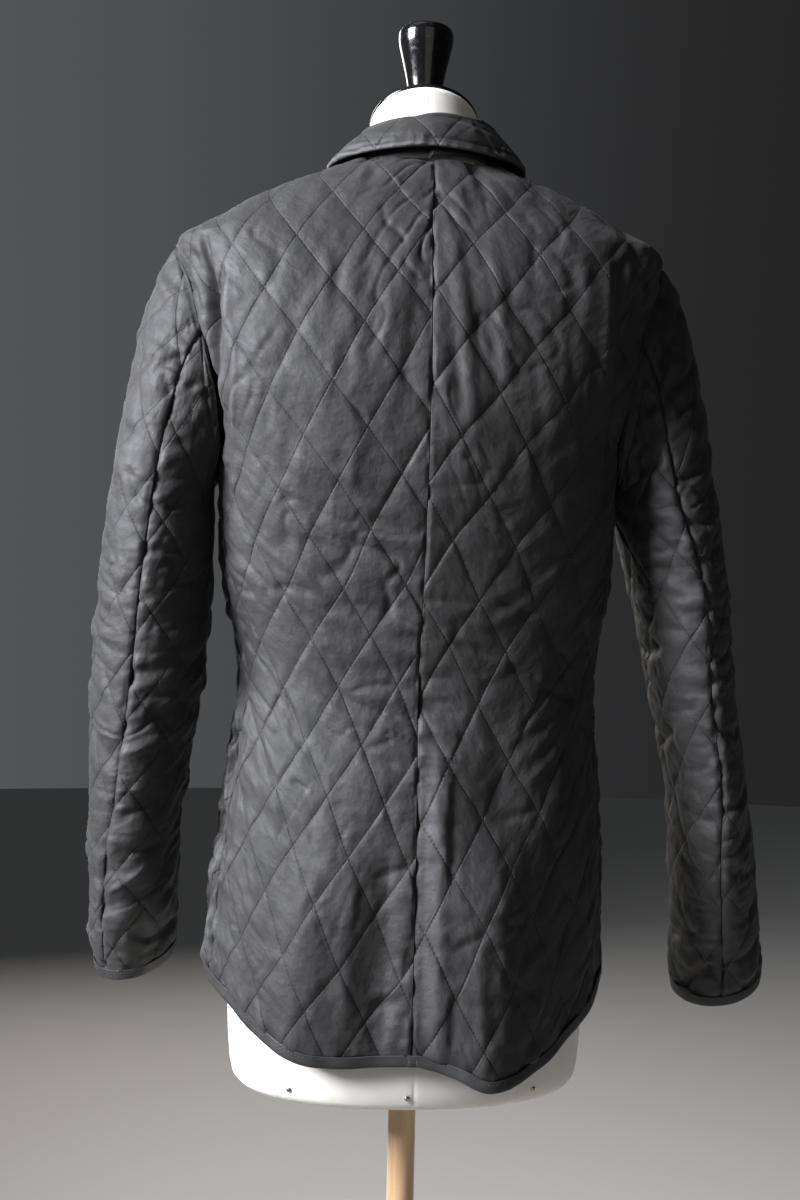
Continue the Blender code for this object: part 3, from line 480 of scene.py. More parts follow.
def sleeveRing(side, angle, height):
    # a point of a hanging sleeve: angle 0 is outermost and 90 the back
    rows = sleeveRings[side]
    ring = {name: ringValue(rows, sleeveColumns, name, height) for name in sleeveColumns[1:]}
    turn = np.radians(angle + ring["twist"])
    out, back = ring["halfX"] * np.cos(turn), ring["halfY"] * np.sin(turn)
    z = height - ring["backDrop"] * back + ring["outerRise"] * out
    x = side * (ring["centreX"] + out)
    return np.stack(np.broadcast_arrays(x, ring["centreY"] + back, z), axis=-1)


def sleeveGrid(side):
    # outer points and normals of a whole sleeve, rows from the armhole down to the cuff
    count = len(armholeTable) * sleeveStations
    stations = np.arange(count + 1) / sleeveStations
    rows, degrees = zip(*roundTheArm)
    turn = smoothThrough(rows, degrees, stations)
    start, bodyNormal = body(side, *armhole(stations))
    end = sleeveRing(side, turn, bicep)
    below = sleeveRing(side, turn, bicep - 0.01)
    span = end - start
    length = np.linalg.norm(span, axis=1, keepdims=True)
    outward = (0.5 + 0.5 * np.cos(np.radians(turn)))[:, None]
    lean = sleeveHead["lean"] + sleeveHead["leanOutside"] * outward
    leave = unit(unit(span) + lean * np.array([side, 0.0, 0.0]))
    arrive = unit(below - end)
    start = start + leave * cloth["seat"] + bodyNormal * cloth["seat"] * (1 - outward)
    reach = np.minimum(sleeveHead["reachShare"] * length, sleeveHead["reach"])
    grid = [
        (1 + 2 * t) * (1 - t) ** 2 * start
        + t * (1 - t) ** 2 * reach * leave
        + t * t * (3 - 2 * t) * end
        - t * t * (1 - t) * length * sleeveHead["arrive"] * arrive
        for t in capShares
    ]
    for height in np.linspace(bicep, sleeveRings[side][0][0], armRows + 1):
        grid.append(sleeveRing(side, turn, height))
    grid = np.array(grid)
    around = np.roll(grid[:, :-1], -1, axis=1) - np.roll(grid[:, :-1], 1, axis=1)
    around = np.concatenate([around, around[:, :1]], axis=1)
    normals = side * unit(np.cross(np.gradient(grid, axis=0), around))
    share = np.clip(np.sum(normals[0] * bodyNormal, axis=1), 0, 1)[:, None]
    normals[0] = unit(normals[0] + share * 3 * bodyNormal)
    return grid, normals


# Quilting: diamonds sewn through the cloth. Stitch lines run where first or second is whole.
quilting = {
    "high": 0.0005,  # the diamonds stand this far above the cloth's own face
    "deep": 0.0013,  # and the stitch lines lie about this far below that, now more, now less
    "soft": 0.0036,  # distance over which a diamond rises from its stitch line
    "depthWave": 0.024,  # the depth of a stitch line changes over this length
    "leanWave": 0.035,  # and its steeper side over this one
    "pucker": 0.00045,
    "puckerReach": 0.0060,
    "puckerWave": 0.0080,
    "puckerFrom": 0.0015,  # none within this distance of the line
    "lineSpacing": 0.0428,  # between neighbouring parallel stitch lines
    "stitchPitch": 0.0030,
}
stitch = {
    "length": 0.0018, "width": 0.00055, "height": 0.00026, "sink": 0.00010,
    "near": 0.12,  # the search for a line looks this close to it, in lattice steps
    "farthest": 0.0022,  # no stitch where the nearest grid point lies farther off than this,
    "overshoot": 1.2,  # or where it would lie more than this many cells from that point
}


def quiltRelief(first, second, spacing, seed):
    valley = 0.0
    pucker = 0.0
    for number, (across, along) in enumerate(((first, second), (second, first))):
        line = np.round(across)
        offset = (across - line) * spacing
        distance = np.abs(offset)
        run = along * spacing
        # each line is sewn deeper here and shallower there, and steeper now on one side of it
        uneven = softNoise(run / quilting["depthWave"], line * 1.37, seed + 20 + number)
        deep = 0.95 + 0.75 * uneven
        lean = softNoise(run / quilting["leanWave"], line * 1.71, seed + 30 + number)
        soft = quilting["soft"] * (1 + 0.75 * lean * np.sign(offset))
        sunk = deep * quilting["deep"] * np.exp(-distance / soft)
        valley = valley + sunk**3
        wave = softNoise(run / quilting["puckerWave"], line, seed + number)
        # ridges square to the line, which die away from it
        fade = np.exp(-distance / quilting["puckerReach"])
        fade = fade * ease(distance / quilting["puckerFrom"])
        pucker = pucker + quilting["pucker"] * wave * fade
    return quilting["high"] - np.cbrt(valley) + pucker


def seamRelief(distance, along, wave, depth, reach, seed, curl=0.0012, curlWidth=0.0022):
    # a seam draws the cloth's edge in and gathers it into short ridges of uneven length
    ridge = softNoise(along / wave, 0.5, seed) + 0.5 * softNoise(along / wave * 2.3, 7.5, seed)
    uneven = reach * (1 + 0.7 * softNoise(along / wave / 1.7, 3.5, seed + 1))
    gather = depth * ridge * np.exp(-((distance / uneven) ** 1.5)) * ease(distance / 0.003)
    return gather - curl * np.exp(-((distance / curlWidth) ** 2))


def creaseRelief(across, along, creases):
    # rows: start across, start along, end across, end along, half width, depth, bow, all in mm
    total = np.zeros_like(across)
    for row in creases:
        startAcross, startAlong, endAcross, endAlong, half, depth, bow = (v / 1000 for v in row)
        runAcross, runAlong = endAcross - startAcross, endAlong - startAlong
        length = math.hypot(runAcross, runAlong)
        dAcross, dAlong = across - startAcross, along - startAlong
        share = (dAcross * runAcross + dAlong * runAlong) / length**2
        off = (dAcross * runAlong - dAlong * runAcross) / length
        inside = np.clip(share, 0, 1)
        off = off - bow * 4 * inside * (1 - inside)
        # a crease is steeper on one side and fades at its ends
        width = half * np.where(off > 0, 0.75, 1.25) * (0.6 + 0.8 * inside * (1 - inside) * 2)
        taper = ease((share + 0.08) / 0.3) * ease((1.08 - share) / 0.3)
        total = total + depth * np.exp(-((off / width) ** 2)) * taper
    return total


def creaseLines(u, v, seed, sharp=0.12):
    # thin wandering creases, where a smooth noise passes through nought
    return np.exp(-((softNoise(u, v, seed) / sharp) ** 2))


wrinkle = {  # widths across and along the cloth, how far each leans over and its seed
    "broad": (0.040, 0.120, 0.12, 0.0, 0),
    "hang": (0.0100, 0.050, 0.12, 0.0, 1),
    "sag": (0.034, 0.0100, 0.0, 0.25, 7),
    "small": (0.0065, 0.0085, 0.0, 0.0, 2),
    "patch": (0.045, 0.055, 0.0, 0.0, 4),
    "quiet": (0.060, 0.070, 0.0, 0.0, 9),
    "steep": (0.019, 0.048, 0.5, 0.4, 5),
    "flat": (0.050, 0.015, 0.3, 0.3, 6),
}
wrinkleDepth = {"broad": 0.0012, "hang": 0.0013, "sag": 0.0017, "small": 0.00025, "sharp": 0.0014}


def wrinkles(across, along, seed, strength=1.0, level=0.5):
    # soft wrinkles that hang down the cloth, others square to them, and patches of small sharp
    # creases; level is how much of them lies level
    def field(name, kind=softNoise):
        width, height, leanAcross, leanAlong, number = wrinkle[name]
        u = (across + along * leanAcross) / width
        return kind(u, (along - across * leanAlong) / height, seed + number)

    depth = wrinkleDepth
    patch = ease(0.35 + 1.3 * field("patch"))
    quiet = 0.45 + 0.85 * ease(0.5 + field("quiet"))
    sharp = -(1 - level) * field("steep", creaseLines) - level * 1.2 * field("flat", creaseLines)
    hanging = depth["hang"] * (1 - level) * field("hang") + depth["sag"] * level * field("sag")
    soft = depth["broad"] * field("broad") + quiet * hanging
    return strength * (soft + depth["small"] * field("small") + depth["sharp"] * patch * sharp)


def bunching(distance, along, facts, seed):
    # the cloth crumpled beside a seam into short upright ridges
    low, high, reach, depth = facts
    ridges = 1 - 2 * np.abs(softNoise(distance / 0.0085, along / 0.024, seed)) * 1.6
    ridges = ridges + 0.6 * softNoise(distance / 0.005, along / 0.010, seed + 1)
    where = ease((along - low) / 0.05) * ease((high - along) / 0.08)
    return depth * ridges * where * np.exp(-((distance / reach) ** 2)) * ease(distance / 0.003)


def gridFaces(rows, columns, offset=0, flip=False):
    first = offset + (np.arange(rows - 1)[:, None] * columns + np.arange(columns - 1)).ravel()
    quads = np.stack([first, first + 1, first + columns + 1, first + columns], axis=1)
    return (quads[:, ::-1] if flip else quads).tolist()


def bandFaces(first, second, sides):
    # between two rings of points, from their first indices
    step = [(k, (k + 1) % sides) for k in range(sides)]
    return [(first + k, first + after, second + after, second + k) for k, after in step]


def rimOf(rows, columns):
    # indices round a grid's edge
    rim = list(range(columns)) + [r * columns + columns - 1 for r in range(1, rows)]
    rim += [(rows - 1) * columns + c for c in range(columns - 2, -1, -1)]
    return rim + [r * columns for r in range(rows - 2, 0, -1)]


def storeValues(mesh, name, kind, values):
    field = "vector" if kind == "FLOAT_VECTOR" else "value"
    mesh.attributes.new(name, kind, "POINT")
    mesh.attributes[name].data.foreach_set(field, values.astype(np.float32).ravel())


def finishPiece(name, points, faces, material, place=None, height=None, quilt=None):
    mesh = bpy.data.meshes.new(name)
    mesh.from_pydata(points.tolist(), [], faces)
    mesh.materials.append(material)
    mesh.shade_smooth()
    if place is not None:
        # where each point lies on the flat cloth, for the weave, and how proud it stands, which
        # sets its painted highlight
        storeValues(mesh, "clothPlace", "FLOAT_VECTOR", place)
        storeValues(mesh, "proud", "FLOAT", height)
        storeValues(mesh, "quilt", "FLOAT_VECTOR", quilt)
    piece = bpy.data.objects.new(name, mesh)
    bpy.context.scene.collection.objects.link(piece)
    return piece


foldReach = 3  # cells within which the inner face answers a fold in the outer one
rimReach = 2  # cells over which the way out of a piece's edge is measured


def lowestNear(values, reach):
    # the least value within a few cells of each
    padded = np.pad(values, reach, mode="edge")
    rows, columns = values.shape
    shifts = range(2 * reach + 1)
    return np.min([padded[i:i + rows, j:j + columns] for i in shifts for j in shifts], axis=0)


def clothShell(
    name, base, normals, relief, wall, place, lattice=None, bulge=0.0, every=3, wornAndHighlit=None
):
    # fine outer face, a plainer inner face below it that follows the deep folds, a rounded edge
    rows, columns = base.shape[:2]
    outer = base + normals * relief[..., None]
    depth = np.maximum(wall, cloth["foldWall"] - lowestNear(relief, foldReach))
    inner = base - normals * depth[..., None]
    keepRows = sorted({*range(0, rows, every), rows - 1})
    keepColumns = sorted({*range(0, columns, every), columns - 1})
    backing = inner[np.ix_(keepRows, keepColumns)]
    edge = rimOf(rows, columns)
    flat, flatInner = outer.reshape(-1, 3), inner.reshape(-1, 3)
    rowOf, columnOf = np.divmod(edge, columns)
    inRow = np.clip(rowOf, rimReach, rows - 1 - rimReach)
    inColumn = np.clip(columnOf, rimReach, columns - 1 - rimReach)
    away = unit(flat[edge] - outer[inRow, inColumn])
    middle = (flat[edge] + flatInner[edge]) / 2 + away * bulge
    points = np.concatenate([flat, backing.reshape(-1, 3), middle])
    flip = np.sum(np.cross(base[0, 1] - base[0, 0], base[1, 0] - base[0, 0]) * normals[0, 0]) < 0
    faces = gridFaces(rows, columns, 0, flip)
    faces += gridFaces(len(keepRows), len(keepColumns), rows * columns, not flip)
    backingIndex = {}
    for i, r in enumerate(keepRows):
        for j, c in enumerate(keepColumns):
            backingIndex[r * columns + c] = rows * columns + i * len(keepColumns) + j
    middleStart = rows * columns + len(keepRows) * len(keepColumns)
    count = len(edge)
    rim = []
    for k in range(count):
        after = (k + 1) % count
        rim.append((edge[after], edge[k], middleStart + k, middleStart + after))
    corners = [k for k in range(count) if edge[k] in backingIndex]
    for here, after in zip(corners, corners[1:] + [corners[0] + count]):
        a, b = backingIndex[edge[here]], backingIndex[edge[after % count]]
        half = (here + after) // 2
        for k in range(here, after):
            near = a if k < half else b
            rim.append((middleStart + (k + 1) % count, middleStart + k % count, near))
        rim.append((middleStart + half % count, a, b))
    faces += [tuple(reversed(f)) for f in rim] if flip else rim
    first, second = lattice if lattice is not None else (0.5 + 0 * relief, 0.5 + 0 * relief)

    def everywhere(values):
        # the same values on the outer face, the inner face and the rim
        inside = values[np.ix_(keepRows, keepColumns)].reshape(-1, 3)
        return np.concatenate([values.reshape(-1, 3), inside, values.reshape(-1, 3)[edge]])

    height = np.zeros(len(points))
    height[: rows * columns] = relief.ravel() * 1000
    # painted highlight: the collar's paler edge is added to how proud the cloth stands
    if wornAndHighlit is not None:
        height[: rows * columns] += wornAndHighlit.ravel()
        height[middleStart:] += wornAndHighlit.ravel()[edge]
    quilt = everywhere(np.stack([first, second, 0 * first], axis=-1))
    piece = finishPiece(name, points, faces, nylon, everywhere(place), height, quilt)
    return piece, outer


def bead(centre, along, up):
    # a stitch: a thread that rises from one hole and dips into the next
    side = np.cross(along, up)
    half = along * stitch["length"] / 2
    low = -up * stitch["sink"]
    wide = side * stitch["width"] / 2
    corners = [centre + step + low for step in (-half, wide, half, -wide)]
    return corners + [centre + up * stitch["height"]]


def joinBeads(name, beads):
    # all the stitches of a seam as one piece, each with five points
    sides = ((0, 1, 4), (1, 2, 4), (2, 3, 4), (3, 0, 4), (1, 0, 3), (1, 3, 2))
    faces = [tuple(5 * i + k for k in side) for i in range(len(beads)) for side in sides]
    return finishPiece(name, np.array(beads).reshape(-1, 3), faces, thread)


def sewLines(name, points, facing, first, second, spacing, lines=None):
    # stitches a pitch apart on a grid, where first or second is whole, or first is in lines
    normal = unit(np.cross(np.gradient(points, axis=1), np.gradient(points, axis=0)))
    normal = normal * np.sign(np.sum(normal * facing, axis=-1))[..., None]
    rows, columns = first.shape
    beads = []
    for a, b in ((first, second), (second, first))[: 1 if lines else 2]:
        tree = KDTree(rows * columns)
        for i, pair in enumerate(zip((a * spacing).ravel(), (b * spacing).ravel())):
            tree.insert((*pair, 0.0), i)
        tree.balance()
        dRowA, dColumnA = np.gradient(a)
        dRowB, dColumnB = np.gradient(b)
        dRowP, dColumnP = np.gradient(points, axis=0), np.gradient(points, axis=1)
        levels = lines if lines is not None else range(math.ceil(a.min()), math.floor(a.max()) + 1)
        step = quilting["stitchPitch"] / spacing
        for level in levels:
            on = np.abs(a - level) < stitch["near"]
            if not on.any():
                continue
            numbers = np.arange(math.ceil(b[on].min() / step), b[on].max() / step)
            for value in (numbers + 0.5) * step:
                _, index, far = tree.find((level * spacing, value * spacing, 0.0))
                r, c = divmod(index, columns)
                if far > stitch["farthest"]:
                    continue
                det = dRowA[r, c] * dColumnB[r, c] - dColumnA[r, c] * dRowB[r, c]
                if abs(det) < 1e-12:
                    continue
                missA, missB = level - a[r, c], value - b[r, c]
                moveRow = (missA * dColumnB[r, c] - dColumnA[r, c] * missB) / det
                moveColumn = (dRowA[r, c] * missB - missA * dRowB[r, c]) / det
                if max(abs(moveRow), abs(moveColumn)) > stitch["overshoot"]:
                    continue
                centre = points[r, c] + dRowP[r, c] * moveRow + dColumnP[r, c] * moveColumn
                run = (-dColumnA[r, c] * dRowP[r, c] + dRowA[r, c] * dColumnP[r, c]) / det
                along = run / max(np.linalg.norm(run), 1e-12)
                up = normal[r, c] - along * np.dot(normal[r, c], along)
                beads.append(bead(centre, along, up / max(np.linalg.norm(up), 1e-12)))
    return joinBeads(name, beads)


stitchMark = {  # shares of the distance between stitch lines, and of a stitch
    "channel": (0.011, 0.025), "shadedHole": (0.14, 0.30),
}


def stitchMasks(tree):
    # 1 along the sewn channels, and 1 at the needle holes in them, where painted shade goes
    quilt = addNode(tree, "ShaderNodeAttribute", {"attribute_name": "quilt"}).outputs["Vector"]
    split = addNode(tree, "ShaderNodeSeparateXYZ", Vector=quilt)
    pitches = quilting["lineSpacing"] / quilting["stitchPitch"]
    smooth = {"interpolation_type": "SMOOTHSTEP"}
    lines, shadedHoles = [], []
    for across, along in ((0, 1), (1, 0)):
        away = addMath(tree, "PINGPONG", split.outputs[across], 0.5)
        line = addRange(tree, away, *stitchMark["channel"], 1.0, 0.0, **smooth)
        count = addMath(tree, "MULTIPLY", split.outputs[along], pitches)
        near = addMath(tree, "PINGPONG", count, 0.5)
        shadedHole = addRange(tree, near, *stitchMark["shadedHole"], 1.0, 0.0, **smooth)
        lines.append(line)
        shadedHoles.append(addMath(tree, "MULTIPLY", line, shadedHole))
    return addMath(tree, "MAXIMUM", *lines), addMath(tree, "MAXIMUM", *shadedHoles)


clothLook = {
    "dye": ("#202021", "#2a2a2b"),  # the darkest and palest patches
    # partly wear, partly painted highlight: raised cloth is painted this paler colour, between
    # these proud heights
    "rubbedAndHighlit": "#4a4a4c",
    "rubbedAndHighlitFrom": 0.9, "rubbedAndHighlitTo": 8.0,  # how proud a place stands, in mm
    # painted shade: near black painted into the needle holes
    "shadedHole": "#050505",
    "roughness": (0.62, 0.76),
    "threads": 0.0008,  # drawn coarser than the real 0.25 mm, so that they show
}


def clothMaterial():
    # Down-proof nylon taffeta, calendered on its outer face: near black with a soft broad sheen,
    # a fine plain weave, and slightly paler where folds and stitched ridges stand proud: partly
    # rubbed wear, partly a painted highlight on the raised cloth
    made, tree, shader = newMaterial(
        "charcoal nylon taffeta", Roughness=0.70, IOR=1.5, Sheen_Weight=0.10, Sheen_Roughness=0.5,
        Sheen_Tint="#a2a1a2",
    )
    place = addNode(tree, "ShaderNodeAttribute", {"attribute_name": "clothPlace"}).outputs["Vector"]
    proud = addNode(tree, "ShaderNodeAttribute", {"attribute_name": "proud"}).outputs["Fac"]
    dark, pale = clothLook["dye"]
    dyed = colourSteps(tree, addNoise(tree, place, 22.0, 4.0), (0.30, dark), (0.70, pale))
    # painted highlight: the higher the cloth stands, the paler it is painted, partly as rubbed wear
    # and partly as lit ridges
    rubbedAndHighlit = addRange(tree, proud, clothLook["rubbedAndHighlitFrom"], clothLook["rubbedAndHighlitTo"])
    sewn, shadedHoles = stitchMasks(tree)
    colour = paintOver(tree, rubbedAndHighlit, dyed, clothLook["rubbedAndHighlit"])
    # painted shade: the needle holes are painted near black
    colour = paintOver(tree, shadedHoles, colour, clothLook["shadedHole"])
    rough = addRange(tree, addNoise(tree, place, 60.0, 3.0), 0.3, 0.7, *clothLook["roughness"])
    # from the broadest to the finest: stitched channels, crushed cloth, small folds and the weave
    channels = addBump(tree, addMath(tree, "SUBTRACT", 1.0, sewn), 1.0, 0.0003)
    crushed = addBump(tree, addNoise(tree, place, 130.0, 5.0), 0.8, 0.0013, channels)
    stretched = addNode(tree, "ShaderNodeMapping", {"Scale": (1.0, 0.7, 1.0)}, Vector=place)
    crumple = addNoise(
        tree, stretched.outputs[0], 46.0, 3.0, noise_type="RIDGED_MULTIFRACTAL", Roughness=0.4
    )
    folds = addBump(tree, crumple, 0.55, 0.0010, crushed)
    warp, weft = (addWave(tree, place, way, clothLook["threads"], 0.6) for way in "XY")
    weave = addBump(tree, addMath(tree, "ADD", warp, weft), 0.16, 0.00012, folds)
    feed(tree, shader, Base_Color=colour, Roughness=rough, Normal=weave)
    return made


def bindingMaterial():
    # Folded nylon bias tape: duller than the cloth, with a visible diagonal rib
    made, tree, shader = newMaterial(
        "nylon bias tape", Base_Color="#232324", Roughness=0.62, IOR=1.5, Sheen_Weight=0.08,
        Sheen_Roughness=0.4, Sheen_Tint="#a6a2a6",
    )
    place = objectPlace(tree)
    colour = colourSteps(tree, addNoise(tree, place, 90.0, 4.0), (0.3, "#1e1e1f"), (0.7, "#2e2e2f"))
    rib = addBump(tree, addWave(tree, place, "DIAGONAL", 0.0011, 1.2), 0.25, 0.0002)
    feed(tree, shader, Base_Color=colour, Normal=rib)
    return made


def threadMaterial():
    # Spun polyester sewing thread: matt, a shade paler than the cloth it is sunk in
    made, tree, shader = newMaterial(
        "polyester sewing thread", Roughness=0.7, IOR=1.5, Sheen_Weight=0.2, Sheen_Roughness=0.5,
    )
    twist = addNoise(tree, objectPlace(tree), 1400.0, 2.0)
    feed(tree, shader, Base_Color=colourSteps(tree, twist, (0.3, "#2a2a2b"), (0.7, "#434344")))
    return made


def jerseyMaterial():
    # White cotton jersey stretched over the form: matt, fine vertical wales of knitted loops
    made, tree, shader = newMaterial(
        "white cotton jersey", Base_Color="#efece4", Roughness=0.85, IOR=1.5, Sheen_Weight=0.25,
        Sheen_Roughness=0.5,
    )
    place = objectPlace(tree)
    colour = colourSteps(tree, addNoise(tree, place, 9.0, 5.0), (0.3, "#e9e5db"), (0.7, "#f5f3ee"))
    # wales 0.9 mm apart and courses 0.7 mm apart
    wales = addWave(tree, place, "X", 0.0009, 1.0)
    courses = addWave(tree, place, "Z", 0.0007, 1.0)
    loops = addBump(tree, addMath(tree, "ADD", wales, courses), 0.2, 0.0003)
    feed(tree, shader, Base_Color=colour, Normal=loops)
    return made


def lacquerMaterial():
    # Black polyurethane lacquer on turned wood: deep gloss with faint orange peel and dust
    made, tree, shader = newMaterial(
        "black polyurethane lacquer", Base_Color="#0c0c0d", Roughness=0.1, IOR=1.5,
        Coat_Weight=0.25, Coat_Roughness=0.10,
    )
    place = objectPlace(tree)
    dust = addNoise(tree, place, 240.0, 6.0)
    colour = colourSteps(tree, dust, (0.55, "#0b0b0c"), (0.8, "#232325"))
    peel = addBump(tree, addNoise(tree, place, 420.0, 1.0), 0.02, 0.0004)
    rough = addRange(tree, dust, 0.4, 0.75, 0.13, 0.24)
    feed(tree, shader, Base_Color=colour, Roughness=rough, Normal=peel)
    return made


baseTop = 0.0452  # height where the form's pole meets its base


def beechMaterial():
    # Clear-varnished beech: pink-tan, straight grain along the pole, short dark flecks
    made, tree, shader = newMaterial("varnished beech", Roughness=0.38, IOR=1.5, Coat_Weight=0.25,
                                     Coat_Roughness=0.25)
    place = objectPlace(tree)
    # the grain stands in the pole and lies across the base
    split = addNode(tree, "ShaderNodeSeparateXYZ", Vector=place)
    x, y, z = (split.outputs[axis] for axis in "XYZ")
    turned = addNode(tree, "ShaderNodeCombineXYZ", X=z, Y=y, Z=x).outputs[0]
    inBase = addMath(tree, "LESS_THAN", z, baseTop)
    way = addNode(tree, "ShaderNodeMix", {"data_type": "VECTOR"}, i0=inBase, i4=place, i5=turned)
    along = way.outputs[1]
    grain = addNode(tree, "ShaderNodeMapping", {"Scale": (110.0, 110.0, 5.0)}, Vector=along)
    rings = addNoise(tree, grain.outputs[0], 1.0, 6.0, Distortion=0.6)
    tones = ((0.25, "#a5805c"), (0.5, "#c7a680"), (0.8, "#d9bd98"))
    flecks = addNode(tree, "ShaderNodeMapping", {"Scale": (900.0, 900.0, 140.0)}, Vector=along)
    spots = addNode(tree, "ShaderNodeTexVoronoi", {"Scale": 1.0}, Vector=flecks.outputs[0])
    dark = addRange(tree, spots.outputs["Distance"], 0.05, 0.22, 0.35, 0.0)
    colour = paintOver(tree, dark, colourSteps(tree, rings, *tones), "#7a5636")
    feed(tree, shader, Base_Color=colour, Normal=addBump(tree, rings, 0.12, 0.0003))
    return made


def metalMaterial(name, pale, dark, rough):
    # Blackened brass or polished steel: small scratches change its gloss and show paler metal
    made, tree, shader = newMaterial(name, Metallic=1.0, Roughness=rough)
    marks = addNoise(tree, objectPlace(tree), 700.0, 6.0)
    colour = colourSteps(tree, marks, (0.35, dark), (0.75, pale))
    gloss = addRange(tree, marks, 0.3, 0.7, rough - 0.08, rough + 0.1)
    feed(tree, shader, Base_Color=colour, Roughness=gloss)
    return made


nylon = clothMaterial()
tape = bindingMaterial()
thread = threadMaterial()
jersey = jerseyMaterial()
lacquer = lacquerMaterial()
beech = beechMaterial()
snapBrass = metalMaterial("black-oxide snap brass", "#4a4a4c", "#1d1d1f", 0.34)
pinSteel = metalMaterial("polished pin steel", "#c9c7c2", "#8e8c88", 0.24)
print("materials made")

# The back's quilting as it hangs: heights of the crossings, half a diamond apart, 25 mm from the
# centre seam; how far their column stands from the seam (mm); a diamond's width (mm); and tilt
quiltRows = {
    1: (
        1.4100, 1.3750, 1.3417, 1.3085, 1.2715, 1.2353, 1.1940, 1.1560, 1.1180, 1.0790, 1.0357,
        0.9990, 0.9600, 0.9150, 0.8718, 0.8290, 0.7893, 0.7450, 0.7090, 0.6690, 0.6290,
    ),
    -1: (
        1.3950, 1.3620, 1.3286, 1.2970, 1.2565, 1.2220, 1.1830, 1.1475, 1.1063, 1.0700, 1.0270,
        0.9910, 0.9470, 0.9020, 0.8600, 0.8200, 0.7800, 0.7303, 0.6900, 0.6500, 0.6100,
    ),
}
quiltDrift = {
    1: (
        (0.70, 36.0), (0.75, 32.6), (0.79, 30.1), (0.832, 28.0), (0.872, 24.2), (0.96, 16.1),
        (0.998, 14.6), (1.036, 13.7), (1.077, 18.0), (1.118, 20.0), (1.154, 21.8), (1.194, 23.7),
        (1.231, 25.3), (1.272, 26.2), (1.342, 26.7),
    ),
    -1: (
        (0.73, 8.0), (0.78, 7.5), (0.82, 4.1), (0.86, 3.0), (0.90, -0.3), (0.99, -0.5),
        (1.025, -3.2), (1.07, -4.3), (1.105, -2.8), (1.148, -1.5), (1.185, 1.2), (1.222, 1.2),
        (1.256, 3.5), (1.296, 6.0), (1.331, 5.4),
    ),
}
quiltWidth = {
    1: (
        (0.72, 46.0), (0.79, 46.0), (0.87, 44.5), (0.96, 45.5), (1.03, 47.0), (1.11, 48.0),
        (1.19, 50.3), (1.30, 51.0),
    ),
    -1: (
        (0.73, 49.0), (0.82, 47.5), (0.90, 48.0), (0.985, 45.0), (1.07, 49.5), (1.15, 50.5),
        (1.22, 52.0), (1.30, 51.0),
    ),
}
quiltTilt = {
    1: (
        (0.75, 0.18), (0.875, 0.12), (0.955, -0.05), (1.0, -0.08), (1.07, -0.11), (1.23, -0.15),
        (1.30, -0.12), (1.34, -0.06),
    ),
    -1: (
        (0.73, 0.12), (0.82, 0.07), (0.90, 0.06), (0.98, -0.08), (1.10, -0.08), (1.20, -0.10),
        (1.30, -0.12), (1.35, -0.12),
    ),
}
crossingsAt = 0.025  # the distance from the centre seam where the heights are told
diamondWidth, diamondHeight = 0.0508, 0.080  # on the fronts and the collar


def backLattice(side, across, height):
    level = height - through(quiltTilt[side], height) * (across - crossingsAt)
    row = [(z, i / 2 - 1) for i, z in enumerate(quiltRows[side])]
    down = through(row, level)
    over = (across - through(quiltDrift[side], height) / 1000) / (
        through(quiltWidth[side], height) / 1000
    )
    return over + down, over - down


def plainLattice(across, along, over, down, tall=diamondHeight):
    # over and down shift the whole pattern, in diamonds
    a, b = across / diamondWidth + over, along / tall + down
    return a + b, a - b


